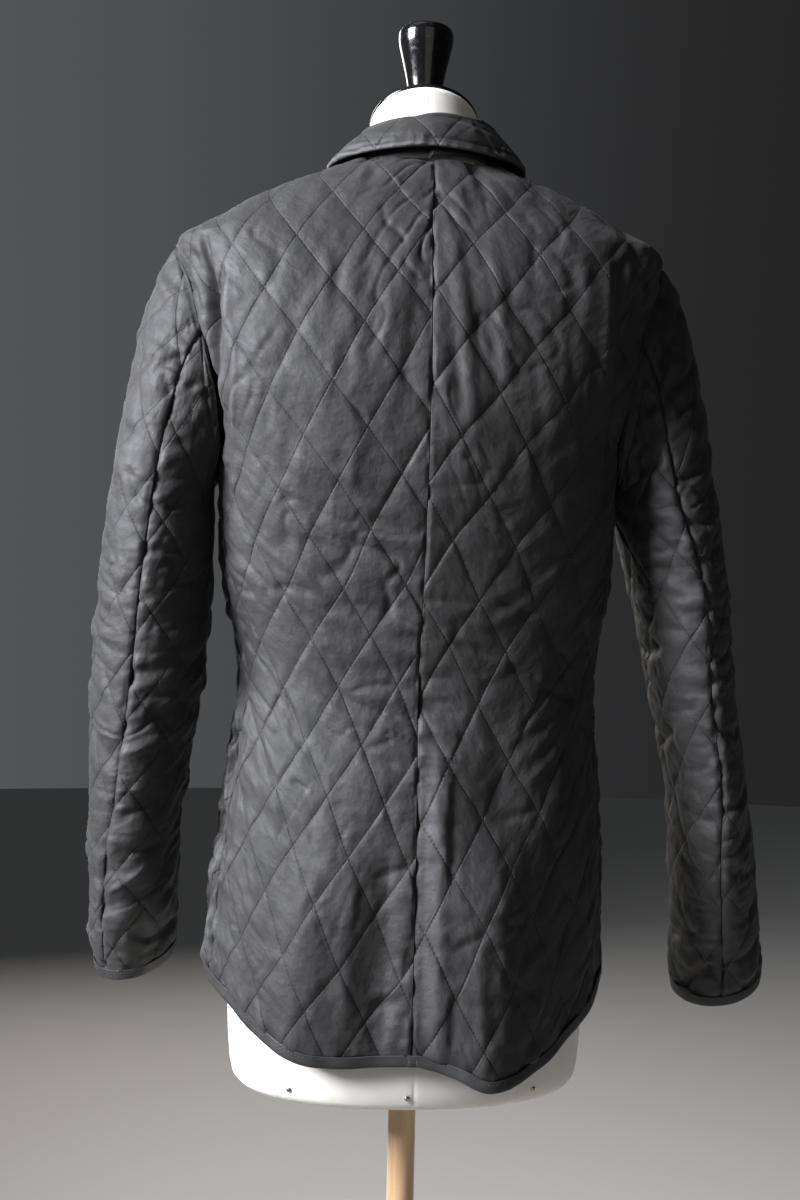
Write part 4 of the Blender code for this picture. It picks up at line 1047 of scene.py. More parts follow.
# Creases: start across, start height, end across, end height, half width, depth, bow, in mm.
# Across runs from the centre seam or front edge.
panels = {
    "back_left": {
        "side": 1, "isBack": True, "seed": 11, "flat": (0.268, 0.722), "area": 0.133,
        "centreSeam": (0.011, 0.0017, 0.015), "outerSeam": (0.012, 0.0018, 0.016),
        "creases": (
            (179, 1306, 190, 1252, 6, -3.2, 2), (163, 1276, 179, 1246, 5, -2.8, 5),
            (187, 1132, 182, 1298, 6, -7.6, -1), (158, 1280, 186, 1132, 7, 2.6, 6),
            (174, 1176, 187, 1140, 6, -2.0, 3), (157, 1240, 162, 1145, 5, 2.0, 6),
            (168, 1150, 177, 1118, 5, 1.8, 0),
            (52, 1370, 24, 1341, 4, 2.2, 1), (38, 1326, 31, 1306, 3, -1.6, -2),
            (32, 1309, 21, 1294, 3, -1.6, 2), (23, 1281, 9, 1266, 3, -1.5, -1),
            (78, 1305, 73, 1252, 6, -1.2, 2), (65, 1225, 63, 1180, 6, -1.0, 2),
            (129, 1190, 125, 1148, 6, -1.6, 3), (54, 954, 16, 961, 3, -1.4, 2),
            (40, 913, 18, 922, 3, -1.2, -1), (115, 1033, 84, 1028, 4, -1.2, 2),
            (57, 1022, 20, 1010, 4, -1.1, 2), (76, 988, 52, 971, 3, -1.4, 1),
            (134, 920, 112, 884, 3, -1.5, 0), (105, 955, 91, 920, 3, -1.3, 0),
            (153, 1020, 140, 985, 4, -1.8, 2), (99, 887, 84, 880, 3, -1.7, 1),
            (32, 817, 5, 827, 4, -1.6, 1), (34, 722, 4, 731, 5, -1.8, 1),
            (22, 840, 24, 690, 12, -3.4, 0), (48, 830, 50, 700, 9, 1.4, 0),
            (146, 825, 137, 793, 4, -1.6, 0), (98, 1070, 72, 1064, 4, -1.0, 1),
        ),
    },
    "back_right": {
        "side": -1, "isBack": True, "seed": 23, "flat": (0.268, 0.722), "area": 0.133,
        "centreSeam": (0.015, 0.0009, 0.010), "outerSeam": (0.013, 0.0016, 0.016),
        "creases": (
            (152, 1282, 155, 1128, 9, -6.5, -5), (174, 1300, 188, 1270, 4, -2.6, 2),
            (176, 1296, 180, 1266, 4, 2.6, 0), (158, 1298, 147, 1256, 5, -2.2, 2),
            (198, 1262, 188, 1220, 6, -2.4, 2), (138, 1290, 136, 1190, 7, 1.4, -2),
            (0, 1027, 44, 1023, 4, -1.4, 1), (24, 994, 68, 982, 4, -2.0, 1),
            (58, 1027, 94, 1016, 4, -1.6, 2), (69, 975, 98, 967, 4, -1.5, -1),
            (6, 943, 38, 941, 4, -1.2, 1), (28, 925, 50, 915, 4, -1.1, 0),
            (60, 861, 97, 868, 4, -1.5, 1), (60, 787, 92, 783, 4, -1.2, 0),
            (30, 767, 58, 781, 4, -1.4, 0), (27, 890, 26, 812, 5, -2.0, 0),
            (10, 885, 12, 700, 8, 1.6, 0), (29, 733, 30, 694, 5, -1.5, 0),
            (16, 935, 20, 660, 12, 3.8, 0), (60, 930, 66, 670, 25, -4.5, 0),
            (112, 990, 134, 975, 4, -1.5, 0), (98, 959, 136, 950, 4, -1.4, 1),
            (28, 1252, 52, 1211, 7, -1.0, 3), (65, 1262, 73, 1227, 6, -1.0, 0),
            (105, 1258, 111, 1190, 7, -1.4, 3), (151, 950, 170, 796, 6, -1.6, 3),
        ),
    },
    "front_left": {
        "side": 1, "isBack": False, "seed": 37, "flat": (0.30, 0.70), "area": 0.165,
        "centreSeam": (0.018, 0.0002, 0.006), "outerSeam": (0.012, 0.0014, 0.018),
        "creases": (
            (150, 1285, 170, 1205, 8, -3.0, 4), (128, 1240, 165, 1165, 7, -2.4, 6),
            (60, 1120, 118, 1085, 8, -1.6, 6), (40, 985, 96, 1000, 5, -1.5, 2),
            (95, 955, 150, 972, 5, -1.7, 2), (55, 930, 104, 921, 5, -1.2, 2),
            (80, 870, 88, 760, 9, -2.2, 3), (35, 840, 40, 715, 9, 1.5, 2),
            (120, 850, 130, 752, 8, 1.7, 2), (66, 1240, 74, 1180, 6, -1.0, 2),
        ),
    },
    "front_right": {
        "side": -1, "isBack": False, "seed": 41, "flat": (0.30, 0.70), "area": 0.165,
        "centreSeam": (0.018, 0.0002, 0.006), "outerSeam": (0.013, 0.0013, 0.016),
        "creases": (
            (152, 1280, 172, 1200, 8, -3.2, 4), (125, 1250, 160, 1170, 7, -2.0, 6),
            (72, 1110, 124, 1072, 8, -1.5, 6), (48, 1002, 110, 985, 5, -1.7, 2),
            (84, 960, 146, 948, 5, -1.5, 2), (52, 915, 92, 925, 5, -1.2, -2),
            (90, 868, 84, 765, 9, -2.0, 3), (46, 830, 42, 722, 9, 1.3, 2),
            (128, 842, 140, 758, 8, 1.8, 2), (58, 1250, 70, 1190, 6, -1.1, 2),
        ),
    },
}
levelShare = ((0.70, 0.40), (0.86, 0.60), (0.94, 0.95), (1.04, 1.00), (1.12, 0.50), (1.20, 0.10))
bunched = {  # low height, high height, reach and depth
    "front_left": (0.690, 0.990, 0.036, 0.0030),
    "back_left": (0.690, 0.980, 0.014, 0.0016),
    "front_right": (0.700, 0.930, 0.022, 0.0011),
}
bodySeam = {"curl": 0.0009, "hem": (0.013, 0.0006, 0.009), "hemCurl": (0.0006, 0.004)}
snapHeights = (0.800, 0.905, 1.010, 1.115, 1.220)
dimple = {"radius": 0.0085, "soft": 0.006, "depth": 0.0004}  # where each snap is pressed in
frontEdgeBulge = 0.0004
frontLattice = {"over": 0.35, "down": 0.2, "top": 1.36}


def panelRelief(facts, base, across, lattice, snapsHere):
    # how far the outer face stands above its smooth base, negative in the folds
    seed, height = facts["seed"], base[..., 2]
    up = arcAlong(base, 0)
    toOuter = across[:, -1:] - across
    total = quiltRelief(*lattice, quilting["lineSpacing"], seed)
    total = total + wrinkles(across, up, seed + 3, 1.0, through(levelShare, height))
    # the front edge, which no seam holds, doesn't curl in
    centreCurl = bodySeam["curl"] if facts["isBack"] else 0.0
    total = total + seamRelief(across, up, *facts["centreSeam"], seed + 5, centreCurl)
    total = total + seamRelief(toOuter, up, *facts["outerSeam"], seed + 6, bodySeam["curl"])
    if facts["name"] in bunched:
        total = total + bunching(toOuter, height, bunched[facts["name"]], seed + 8)
    total = total + seamRelief(up, across, *bodySeam["hem"], seed + 7, *bodySeam["hemCurl"])
    total = total + creaseRelief(across, height, facts["creases"])
    if snapsHere:
        for snap in snapHeights:
            gap = np.hypot(base[..., 0], height - snap)
            free = ease((gap - dimple["radius"]) / dimple["soft"])
            pressed = total * free - dimple["depth"] * (1 - free)
            total = np.where(base[..., 1] < 0, pressed, total)
    return total


def makePanel(name):
    facts = {"name": name, **panels[name]}
    side, isBack = facts["side"], facts["isBack"]
    lift = lap["lift"] if name == "front_right" else 0.0
    columns = backColumns if isBack else frontColumns
    base, normals, across = panelGrid(side, isBack, columns, lift)
    height = base[..., 2]
    if isBack:
        lattice = backLattice(side, across, height)
    else:
        along = frontLattice["top"] - height
        lattice = plainLattice(across, along, frontLattice["over"], frontLattice["down"])
    relief = panelRelief(facts, base, across, lattice, name == "front_right")
    place = np.stack([across, arcAlong(base, 0), np.zeros_like(across)], axis=-1)
    bulge = 0.0 if isBack else frontEdgeBulge
    piece, outer = clothShell(
        name + "_cloth", base, normals, relief, cloth["wall"], place, lattice, bulge
    )
    seams = sewLines("stitches_" + name, outer, normals, *lattice, quilting["lineSpacing"])
    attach(piece, "root")
    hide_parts(name)
    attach(seams, "root")
    return piece, seams, base, normals


hemEdges = []
for name in ("front_right", "back_right", "back_left", "front_left"):
    piece, seams, base, normals = makePanel(name)
    order = slice(None) if name in ("front_right", "back_left") else slice(None, None, -1)
    hemEdges.append((base[0][order], normals[0][order]))
print("body panels made")


# Sleeves: across runs from the back seam, along runs from the cuff
sleeves = {
    1: {
        "where": "left", "seed": 51,
        "upper": {
            "over": 0.59, "down": 0.53, "flat": (0.235, 0.62), "area": 0.097,
            "seam": (0.0100, 0.0014, 0.014),
            "creases": (
                (30, 484, 3, 508, 5, -2.4, 3), (18, 491, 2, 470, 4, -2.0, 1),
                (24, 412, 8, 384, 4, -1.8, 1), (44, 274, 3, 268, 4, -1.6, 2),
                (40, 330, 8, 312, 4, -1.5, 1), (46, 196, 6, 184, 5, -1.6, 2),
                (52, 120, 10, 108, 5, -1.6, 2), (60, 52, 4, 44, 5, -2.2, 3),
                (90, 70, 40, 84, 6, -2.0, 3), (60, 26, 12, 22, 4, 1.8, 2),
                (110, 290, 70, 262, 7, -2.2, 4), (120, 240, 78, 226, 6, -1.8, 3),
                (150, 300, 112, 270, 6, -1.8, 3), (70, 520, 96, 430, 8, -1.8, 5),
                (120, 470, 130, 400, 8, -1.4, 4),
            ),
        },
        "under": {
            "over": 0.27, "down": 0.20, "flat": (0.20, 0.52), "area": 0.068,
            "seam": (0.0105, 0.0019, 0.020),
            "creases": (
                (27, 38, 48, 20, 6, -4.2, 2), (46, 22, 90, 20, 6, -3.4, 3),
                (4, 72, 40, 97, 3, 2.0, 1), (10, 478, 34, 486, 5, -2.4, 1),
                (12, 381, 34, 388, 5, -2.4, 1), (4, 352, 30, 345, 4, -2.0, 1),
                (6, 242, 42, 234, 5, -2.2, 3), (18, 229, 46, 200, 5, -2.2, 2),
                (6, 330, 60, 318, 6, -1.8, 4), (40, 250, 90, 262, 7, -2.4, 5),
                (50, 216, 100, 204, 7, -2.2, 4), (8, 140, 44, 150, 5, -1.8, 2),
                (10, 112, 50, 104, 5, -1.8, 2), (60, 420, 100, 404, 7, -1.6, 3),
                (12, 20, 60, 8, 4, -1.6, 2), (70, 110, 112, 120, 6, -1.6, 3),
            ),
        },
    },
    -1: {
        "where": "right", "seed": 67,
        "upper": {
            "over": 0.92, "down": 0.63, "flat": (0.235, 0.62), "area": 0.097,
            "seam": (0.0100, 0.0018, 0.018),
            "creases": (
                (2, 500, 68, 519, 5, -4.6, -4), (8, 524, 58, 553, 5, -4.2, -4),
                (4, 512, 40, 530, 6, 2.6, -3), (12, 486, 46, 496, 4, -2.4, -2),
                (24, 566, 60, 585, 6, -2.2, -2), (2, 436, 34, 446, 4, -2.4, 1),
                (2, 404, 30, 398, 4, -2.2, 1), (2, 372, 36, 380, 4, -2.2, 1),
                (4, 330, 34, 322, 5, -2.0, 2), (2, 290, 40, 300, 5, -2.0, 2),
                (4, 236, 44, 226, 5, -2.0, 2), (2, 168, 40, 178, 5, -2.2, 2),
                (2, 118, 46, 104, 5, -2.4, 3), (0, 30, 50, 40, 5, -3.6, 3),
                (6, 64, 52, 76, 6, -2.6, 3), (60, 250, 110, 276, 7, -2.2, 4),
                (66, 214, 124, 228, 6, -1.9, 4), (10, 14, 60, 12, 4, 2.0, 2),
                (90, 440, 120, 380, 8, -1.6, 4),
            ),
        },
        "under": {
            "over": 0.20, "down": 0.02, "flat": (0.20, 0.52), "area": 0.068,
            "seam": (0.0105, 0.0021, 0.022),
            "creases": (
                (8, 504, 30, 496, 5, -3.2, 2), (10, 522, 34, 520, 5, -2.6, 1),
                (6, 458, 40, 450, 5, -2.2, 2), (4, 392, 36, 384, 5, -2.2, 2),
                (48, 304, 112, 288, 6, -3.6, 4), (20, 322, 70, 330, 6, -1.9, 3),
                (40, 242, 100, 206, 7, -3.4, 4), (10, 260, 50, 250, 5, -2.0, 2),
                (4, 212, 40, 200, 5, -2.2, 2), (6, 160, 42, 170, 5, -2.0, 2),
                (6, 110, 50, 122, 5, -2.2, 2), (42, 6, 4, 33, 5, -3.2, 2),
                (20, 60, 70, 44, 6, -2.4, 3), (80, 140, 116, 120, 6, -1.8, 3),
            ),
        },
    },
}
sleeveCloth = {  # the cloth has slipped down the arm and bunched a little
    "diamondHeight": 0.070, "wrinkles": 1.15, "level": 0.85,
    "fine": (0.024, 0.0085, 0.30),  # small creases: width, height, sharpness
    "fineDepth": 0.0010, "finePatch": 0.05,
    # wave, depth and reach of the gathers, seed, then the curl's depth and width
    "backSeam": (5, 0.0016, 0.0026),  # after the first three, which each part has of its own
    "frontSeam": (0.0150, 0.0014, 0.016, 6, 0.0014, 0.0024),
    "armhole": (0.0140, 0.0009, 0.012, 8, 0.0010, 0.0024),
    "cuff": (0.0120, 0.0012, 0.014, 9, 0.0006, 0.0040),
}


def makeSleevePiece(side, part, grid, normals, columns):
    facts = sleeves[side][part]
    seed = sleeves[side]["seed"] + (0 if part == "upper" else 7)
    base = grid[:, columns].copy()
    facing = normals[:, columns]
    for edge, inner in ((0, 1), (-1, -2)):
        base[:, edge] += unit(base[:, inner] - base[:, edge]) * cloth["seamGap"] / 2
    fromStart = arcAlong(base, 1)
    across = fromStart if part == "under" else fromStart[:, -1:] - fromStart
    toFront = fromStart[:, -1:] - fromStart if part == "under" else fromStart
    down = arcAlong(base, 0)
    along = down[-1:] - down
    tall = sleeveCloth["diamondHeight"]
    lattice = plainLattice(across, along, facts["over"], facts["down"], tall)
    total = quiltRelief(*lattice, quilting["lineSpacing"], seed)
    total = total + wrinkles(across, along, seed + 3, sleeveCloth["wrinkles"], sleeveCloth["level"])
    fineWide, fineHigh, sharp = sleeveCloth["fine"]
    fine = creaseLines(across / fineWide, along / fineHigh, seed + 21, sharp)
    patch = sleeveCloth["finePatch"]
    share = 0.6 + 0.4 * softNoise(across / patch, along / patch, seed + 22)
    total = total - sleeveCloth["fineDepth"] * fine * share
    for distance, run, gathers in (
        (across, along, facts["seam"] + sleeveCloth["backSeam"]),
        (toFront, along, sleeveCloth["frontSeam"]),
        (down, across, sleeveCloth["armhole"]),
        (along, across, sleeveCloth["cuff"]),
    ):
        wave, depth, reach, number, *curl = gathers
        total = total + seamRelief(distance, run, wave, depth, reach, seed + number, *curl)
    total = total + creaseRelief(across, along, facts["creases"])
    place = np.stack([across, along, np.zeros_like(across)], axis=-1)
    name = f"sleeve_{part}_{sleeves[side]['where']}"
    piece, outer = clothShell(name + "_cloth", base, facing, total, cloth["wall"], place, lattice)
    seams = sewLines("stitches_" + name, outer, facing, *lattice, quilting["lineSpacing"])
    for each in (piece, seams):
        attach(each, "root")
    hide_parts(name)


cuffEdges = {}
for side in (1, -1):
    grid, normals = sleeveGrid(side)
    count = len(armholeTable) * sleeveStations
    backSeam, frontSeam = backSeamRow * sleeveStations, frontSeamRow * sleeveStations
    upper = [k % count for k in range(frontSeam, count + backSeam + 1)]
    makeSleevePiece(side, "upper", grid, normals, upper)
    makeSleevePiece(side, "under", grid, normals, list(range(backSeam, frontSeam + 1)))
    cuffEdges[side] = (grid[-1][:-1], normals[-1][:-1])
print("sleeves made")


# Collar: closed curves about the neck, cut open at the front
collar = {
    "fold": (0.0532, 0.0460, 0.0520),  # half width, back, front
    "edge": (0.0815, 0.0615, 0.0850),
    "foldTilt": 0.055,  # the fold line rises towards the right
    "shift": 0.003,  # and the whole collar hangs a little to the right
    "foldRadius": 0.0034,
    "leg": 0.0026,
    "belly": 0.0030,
    "foldEnd": -85.0,
    "edgeEnd": -64.0,
    "columns": 220,
    "seed": 83,
    "flat": (0.36, 0.060),
    "seam": (0.0055, 0.0012, 0.0011),  # its stitched channel: from the edge, width and depth
    "gather": (0.0045, 0.009, 0.0008, 84),  # wave, reach, depth and seed
    "thinner": 0.0004,  # than the body's cloth
    "edgeBulge": 0.0005,
    "quiltShare": 0.5,  # of the body's relief
    "standWrinkles": 0.4, "fallWrinkles": 0.6,
    # how much paler its edge is painted, partly as rubbed wear and partly as a painted highlight
    # along the roll, its unevenness, the size of the patches and the width, then the
    # paler painted line beside it: how much, how far from the edge, and its width
    "wornAndHighlit": (9.0, 3.0, 0.012, 0.0022), "wornAndHighlitBeside": (1.5, 0.004, 0.003),
}
foldHeight = ((-90, 1.335), (-45, 1.372), (0, 1.4025), (45, 1.4065), (90, 1.408))
edgeHeight = (
    (-90, 1.300), (-66, 1.306), (-45, 1.330), (-20, 1.366), (0, 1.3748), (20, 1.3752),
    (45, 1.3765), (90, 1.3795),
)


rise = np.array([0.0, 0.0, 1.0])


def neckCurve(sizes, angle, height):
    x, y, _ = superellipse(angle, *sizes, 2.0)
    return np.stack([x, y, height], axis=-1)


def collarLines():
    # the lines that the stand and the fall share: the fold and the foot of its inner leg
    places = np.linspace(-1, 1, collar["columns"] + 1)
    side = np.where(places < 0, 1, -1)[:, None] * np.array([1.0, 0, 0]) + [0, 1, 1]
    angle = 90 + (collar["foldEnd"] - 90) * np.abs(places)
    outward = unit(neckCurve(collar["fold"], angle, 0 * angle))
    fold = neckCurve(collar["fold"], angle, through(foldHeight, angle))
    fold[:, 2] -= collar["foldTilt"] * fold[:, 0] * side[:, 0]
    fold[:, 0] -= collar["shift"] * side[:, 0]
    middle = fold - rise * collar["foldRadius"]
    leg = middle - outward * collar["foldRadius"] - rise * collar["leg"]
    return places, side, angle, outward, middle, leg


def makeStand(places, side, angle, outward, leg):
    low, facing = body(1, angle, neckline)
    lifted = (places > 0) * lap["lift"] * lapShare(low[:, 0])
    low = low + facing * lifted[:, None] + rise * cloth["seat"]
    high = leg + outward * cloth["standWall"] - rise * cloth["seat"]
    stand = np.array([low + (high - low) * t for t in np.linspace(0, 1, 15)]) * side
    normals = unit(np.cross(np.gradient(stand, axis=1), np.gradient(stand, axis=0)))
    roundIt = arcAlong(stand, 1)
    upIt = arcAlong(stand, 0)
    relief = wrinkles(roundIt, upIt, collar["seed"], collar["standWrinkles"])
    relief = relief - 0.0004 * np.exp(-((upIt / 0.003) ** 2))
    place = np.stack([roundIt, upIt, 0 * upIt], axis=-1)
    return clothShell(
        "collar_stand_cloth", stand, normals, relief, cloth["standWall"], place
    )[0]


def fallGrid(places, side, outward, middle, leg):
    # rows from the leg over the rolled fold and down to the edge
    edgeAngle = 90 + (collar["edgeEnd"] - 90) * np.abs(places)
    edge = neckCurve(collar["edge"], edgeAngle, through(edgeHeight, edgeAngle))
    edge[:, 0] -= collar["shift"] * side[:, 0]
    rows, facing = [leg], [-outward]
    for degrees in np.linspace(180, 0, 13):
        turn = math.radians(degrees)
        facing.append(outward * math.cos(turn) + rise * math.sin(turn))
        rows.append(middle + facing[-1] * collar["foldRadius"])
    last = rows[-1]
    fallNormal = unit(np.cross(np.gradient(edge, axis=0), edge - last))
    fallNormal = fallNormal * np.sign(np.sum(fallNormal * outward, axis=1))[:, None]
    for t in np.linspace(0, 1, 27)[1:]:
        rows.append(last + (edge - last) * t + outward * collar["belly"] * math.sin(math.pi * t))
        facing.append(unit(facing[-1] * 0.75 + fallNormal * 0.25))
    return np.array(rows) * side, unit(np.array(facing)) * side


def makeFall(fall, normals):
    # across runs from the nape, positive on the left, and along from the fall's edge
    roundIt = arcAlong(fall, 1)
    across = roundIt[:, collar["columns"] // 2][:, None] - roundIt
    down = arcAlong(fall, 0)
    along = down[-1:] - down
    toEnds = np.minimum(roundIt, roundIt[:, -1:] - roundIt)
    lattice = plainLattice(across, along, 0.06, 0.0)
    relief = quiltRelief(*lattice, quilting["lineSpacing"], collar["seed"]) * collar["quiltShare"]
    relief = relief + wrinkles(across, along * 2, collar["seed"] + 1, collar["fallWrinkles"])
    seamAt, seamWidth, seamDepth = collar["seam"]
    stitched = sum(np.exp(-(((gap - seamAt) / seamWidth) ** 2)) for gap in (along, toEnds))
    relief = relief - seamDepth * np.clip(stitched, 0, 1)
    wave, reach, depth, seed = collar["gather"]
    gather = softNoise(across / wave, 0.5, seed) * np.exp(-((along / reach) ** 2))
    relief = relief + depth * gather
    relief = relief * ease(down / 0.004)
    # its outer edge is painted pale, partly as rubbed wear and partly as a painted highlight, more
    # in some places than in others
    pale, uneven, patch, reach = collar["wornAndHighlit"]
    rubbedAndHighlit = pale + uneven * softNoise(across / patch, 0.5, collar["seed"] + 3)
    wornAndHighlit = rubbedAndHighlit * np.exp(-((along / reach) ** 2))
    pale, inward, reach = collar["wornAndHighlitBeside"]
    wornAndHighlit = wornAndHighlit + pale * np.exp(-(((along - inward) / reach) ** 2))
    place = np.stack([across, along, 0 * along], axis=-1)
    fallPiece, outer = clothShell(
        "collar_fall_cloth", fall, normals, relief, cloth["wall"] - collar["thinner"], place,
        lattice, collar["edgeBulge"], 2, wornAndHighlit,
    )
    # no stitches in the rows inside the fold, and the quilting stops short of the turned edge
    shown, searchStep = slice(8, -4), 0.04
    quilt = sewLines(
        "stitches_collar", outer[shown], normals[shown], *(v[shown] for v in lattice),
        quilting["lineSpacing"],
    )
    edgeSeam = sewLines(
        "stitches_collar_edge", outer[8:], normals[8:], along[8:] / searchStep,
        across[8:] / searchStep, searchStep, [seamAt / searchStep],
    )
    return fallPiece, quilt, edgeSeam


def makeCollar():
    places, side, angle, outward, middle, leg = collarLines()
    standPiece = makeStand(places, side, angle, outward, leg)
    fallPiece, quilt, edgeSeam = makeFall(*fallGrid(places, side, outward, middle, leg))
    for each in (standPiece, fallPiece, quilt, edgeSeam):
        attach(each, "root")
    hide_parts("collar_stand")
    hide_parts("collar_fall")


makeCollar()
print("collar made")

binding = {
    "width": 0.0080, "thickness": 0.0042, "gap": 0.0005,
    "lip": 0.0012,  # how far its two edges reach up over the cloth
    "stitchLine": 0.0012,  # below the cloth's edge
    "tapeWidth": 0.0115,  # laid flat
}


def tapeSection():
    # out through the thickness, in halves of it, and down from the cloth's edge, with two lips
    # that hold the cloth's edge between them
    lip, slot, foot = -binding["lip"], binding["gap"], binding["width"]
    outer = np.array([
        (0.74, slot), (0.74, lip + 0.0002), (0.84, lip), (0.94, lip + 0.0003), (0.98, lip + 0.0012),
        (0.90, binding["stitchLine"]), (1.00, foot * 0.45), (0.98, foot * 0.72),
        (0.80, foot * 0.93), (0.40, foot),
    ])
    return np.concatenate([outer, outer[::-1] * [-1, 1]])


def tapeStitches(line, normals):
    # one row of stitches along a line, a pitch apart
    beads = []
    reach = arcAlong(line[None], 1)[0]
    for at in np.arange(0.002, reach[-1] - 0.001, quilting["stitchPitch"]):
        here = np.array([np.interp(at, reach, line[:, k]) for k in range(3)])
        then = np.array([np.interp(at + 0.001, reach, line[:, k]) for k in range(3)])
        up = np.array([np.interp(at, reach, normals[:, k]) for k in range(3)])
        along = (then - here) / max(np.linalg.norm(then - here), 1e-9)
        beads.append(bead(here, along, up / np.linalg.norm(up)))
    return beads


def makeBinding(name, edge, normals, closed, flat, seed, edgeOf):
    # a folded tape sewn round an edge: a soft flattened roll, drawn in along its stitches
    turned = np.roll(edge, -1, axis=0) - np.roll(edge, 1, axis=0)
    tangent = unit(turned if closed else np.gradient(edge, axis=0))
    down = unit(np.cross(normals, tangent))
    down = down * np.where(down[:, 2:] > 0, -1, 1)
    middle = edge - normals * cloth["wall"] / 2
    length = arcAlong(edge[None], 1)[0]
    half = binding["thickness"] / 2
    section = tapeSection()
    rope = 0.00035 * softNoise(length / 0.009, 0.5, seed)
    rope = rope + 0.0002 * softNoise(length / 0.004, 2.5, seed)
    swell = 1 + 0.10 * softNoise(length / 0.021, 4.5, seed)
    thick = half * section[:, 0]
    belowStitches = section[:, 1] > binding["stitchLine"] + 1e-6
    points = (
        middle[:, None]
        + normals[:, None] * thick[None, :, None] * swell[:, None, None]
        + normals[:, None] * (rope[:, None] * belowStitches)[..., None]
        + down[:, None] * section[None, :, 1:]
    )
    count, sides = points.shape[:2]
    faces = []
    for i in range(count if closed else count - 1):
        faces += bandFaces(i * sides, (i + 1) % count * sides, sides)
    if not closed:
        lastRing = (count - 1) * sides
        faces += [tuple(range(sides - 1, -1, -1)), tuple(range(lastRing, lastRing + sides))]
    out = np.cross(points[0, 10] - points[0, 9], points[1, 9] - points[0, 9])
    if out @ down[0] < 0:
        faces = [tuple(reversed(face)) for face in faces]
    piece = finishPiece(name + "_tape", points.reshape(-1, 3), faces, tape)
    # its stitches run near the tape's upper edge, on the outer side
    line = middle + normals * half * 0.92 + down * binding["stitchLine"]
    if closed:
        line = np.concatenate([line, line[:1]])
        normals = np.concatenate([normals, normals[:1]])
    seams = joinBeads("stitches_" + name, tapeStitches(line, normals))
    for each in (piece, seams):
        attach(each, "root")
    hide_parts(name)


points, normals = hemEdges[0]
for more in hemEdges[1:]:
    points = np.concatenate([points[:-1], (points[-1:] + more[0][:1]) / 2, more[0][1:]])
    normals = np.concatenate([normals[:-1], unit(normals[-1:] + more[1][:1]), more[1][1:]])
tapeWidth = binding["tapeWidth"]
makeBinding("hem_binding", points, normals, False, (1.03, tapeWidth), 91, "back_left_cloth")
for side, length, seed in ((1, 0.262, 93), (-1, 0.268, 95)):
    where = sleeves[side]["where"]
    makeBinding(
        "cuff_binding_" + where, *cuffEdges[side], True, (length, tapeWidth), seed,
        f"sleeve_upper_{where}_cloth",
    )
print("bindings made")


def turnedPiece(name, profile, steps, material, smooth=6, matrix=None, slant=None):
    # a lathe-turned solid: profile is (radius, height) from top to foot, rounded between its points
    profile = np.array(profile, float)
    length = arcAlong(profile[None], 1)[0]
    at = np.unique(np.concatenate([length, np.linspace(0, length[-1], smooth * len(profile))]))
    radius = smoothThrough(length, profile[:, 0], at)
    height = smoothThrough(length, profile[:, 1], at)
    around = np.linspace(0, 2 * math.pi, steps, endpoint=False)
    inner = radius[1:-1]
    ring = np.stack([inner[:, None] * np.cos(around), inner[:, None] * np.sin(around),
                     np.repeat(height[1:-1, None], steps, axis=1)], axis=-1)
    if slant is not None:
        origin, axis = slant
        floor = origin[2] + (origin[1] - ring[..., 1]) * axis[1] / axis[2]
        ring[..., 2] = np.maximum(ring[..., 2], floor)
    top, foot = [0, 0, height[0]], [0, 0, ring[-1, :, 2].mean()]
    points = np.concatenate([[top], ring.reshape(-1, 3), [foot]])
    last = len(points) - 1
    faces = [(0, 1 + k, 1 + (k + 1) % steps) for k in range(steps)]
    for i in range(len(inner) - 1):
        a, b = 1 + i * steps, 1 + (i + 1) * steps
        faces += [(a + k, b + k, b + (k + 1) % steps, a + (k + 1) % steps) for k in range(steps)]
    a = 1 + (len(inner) - 1) * steps
    faces += [(a + k, last, a + (k + 1) % steps) for k in range(steps)]
    if matrix is not None:
        points = np.array([matrix @ Vector(p) for p in points])
    return finishPiece(name, points, faces, material)


snapProfile = (  # a plain cap with a rolled rim, radius and height in metres
    (0.0, 0.0022), (0.0030, 0.0021), (0.0042, 0.0018), (0.0052, 0.0026), (0.0063, 0.0030),
    (0.0073, 0.0025), (0.0075, 0.0012), (0.0071, 0.0002), (0.0060, 0.0), (0.0, 0.0),
)
snapSeat = 0.0015  # how far its foot lies behind the middle of the node
for number, height in enumerate(snapHeights, 1):
    node = f"snap_{number}"
    low, high = (Vector(corner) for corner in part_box(node))
    normal = Vector(body(1, -90.0, height)[1].tolist())
    foot = (low + high) / 2 - normal * snapSeat
    placed = Matrix.Translation(foot) @ normal.to_track_quat("Z", "Y").to_matrix().to_4x4()
    snap = turnedPiece(node + "_cap", snapProfile, 48, snapBrass, 4, placed)
    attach(snap, "root")
    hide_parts(node)
print("snaps made")

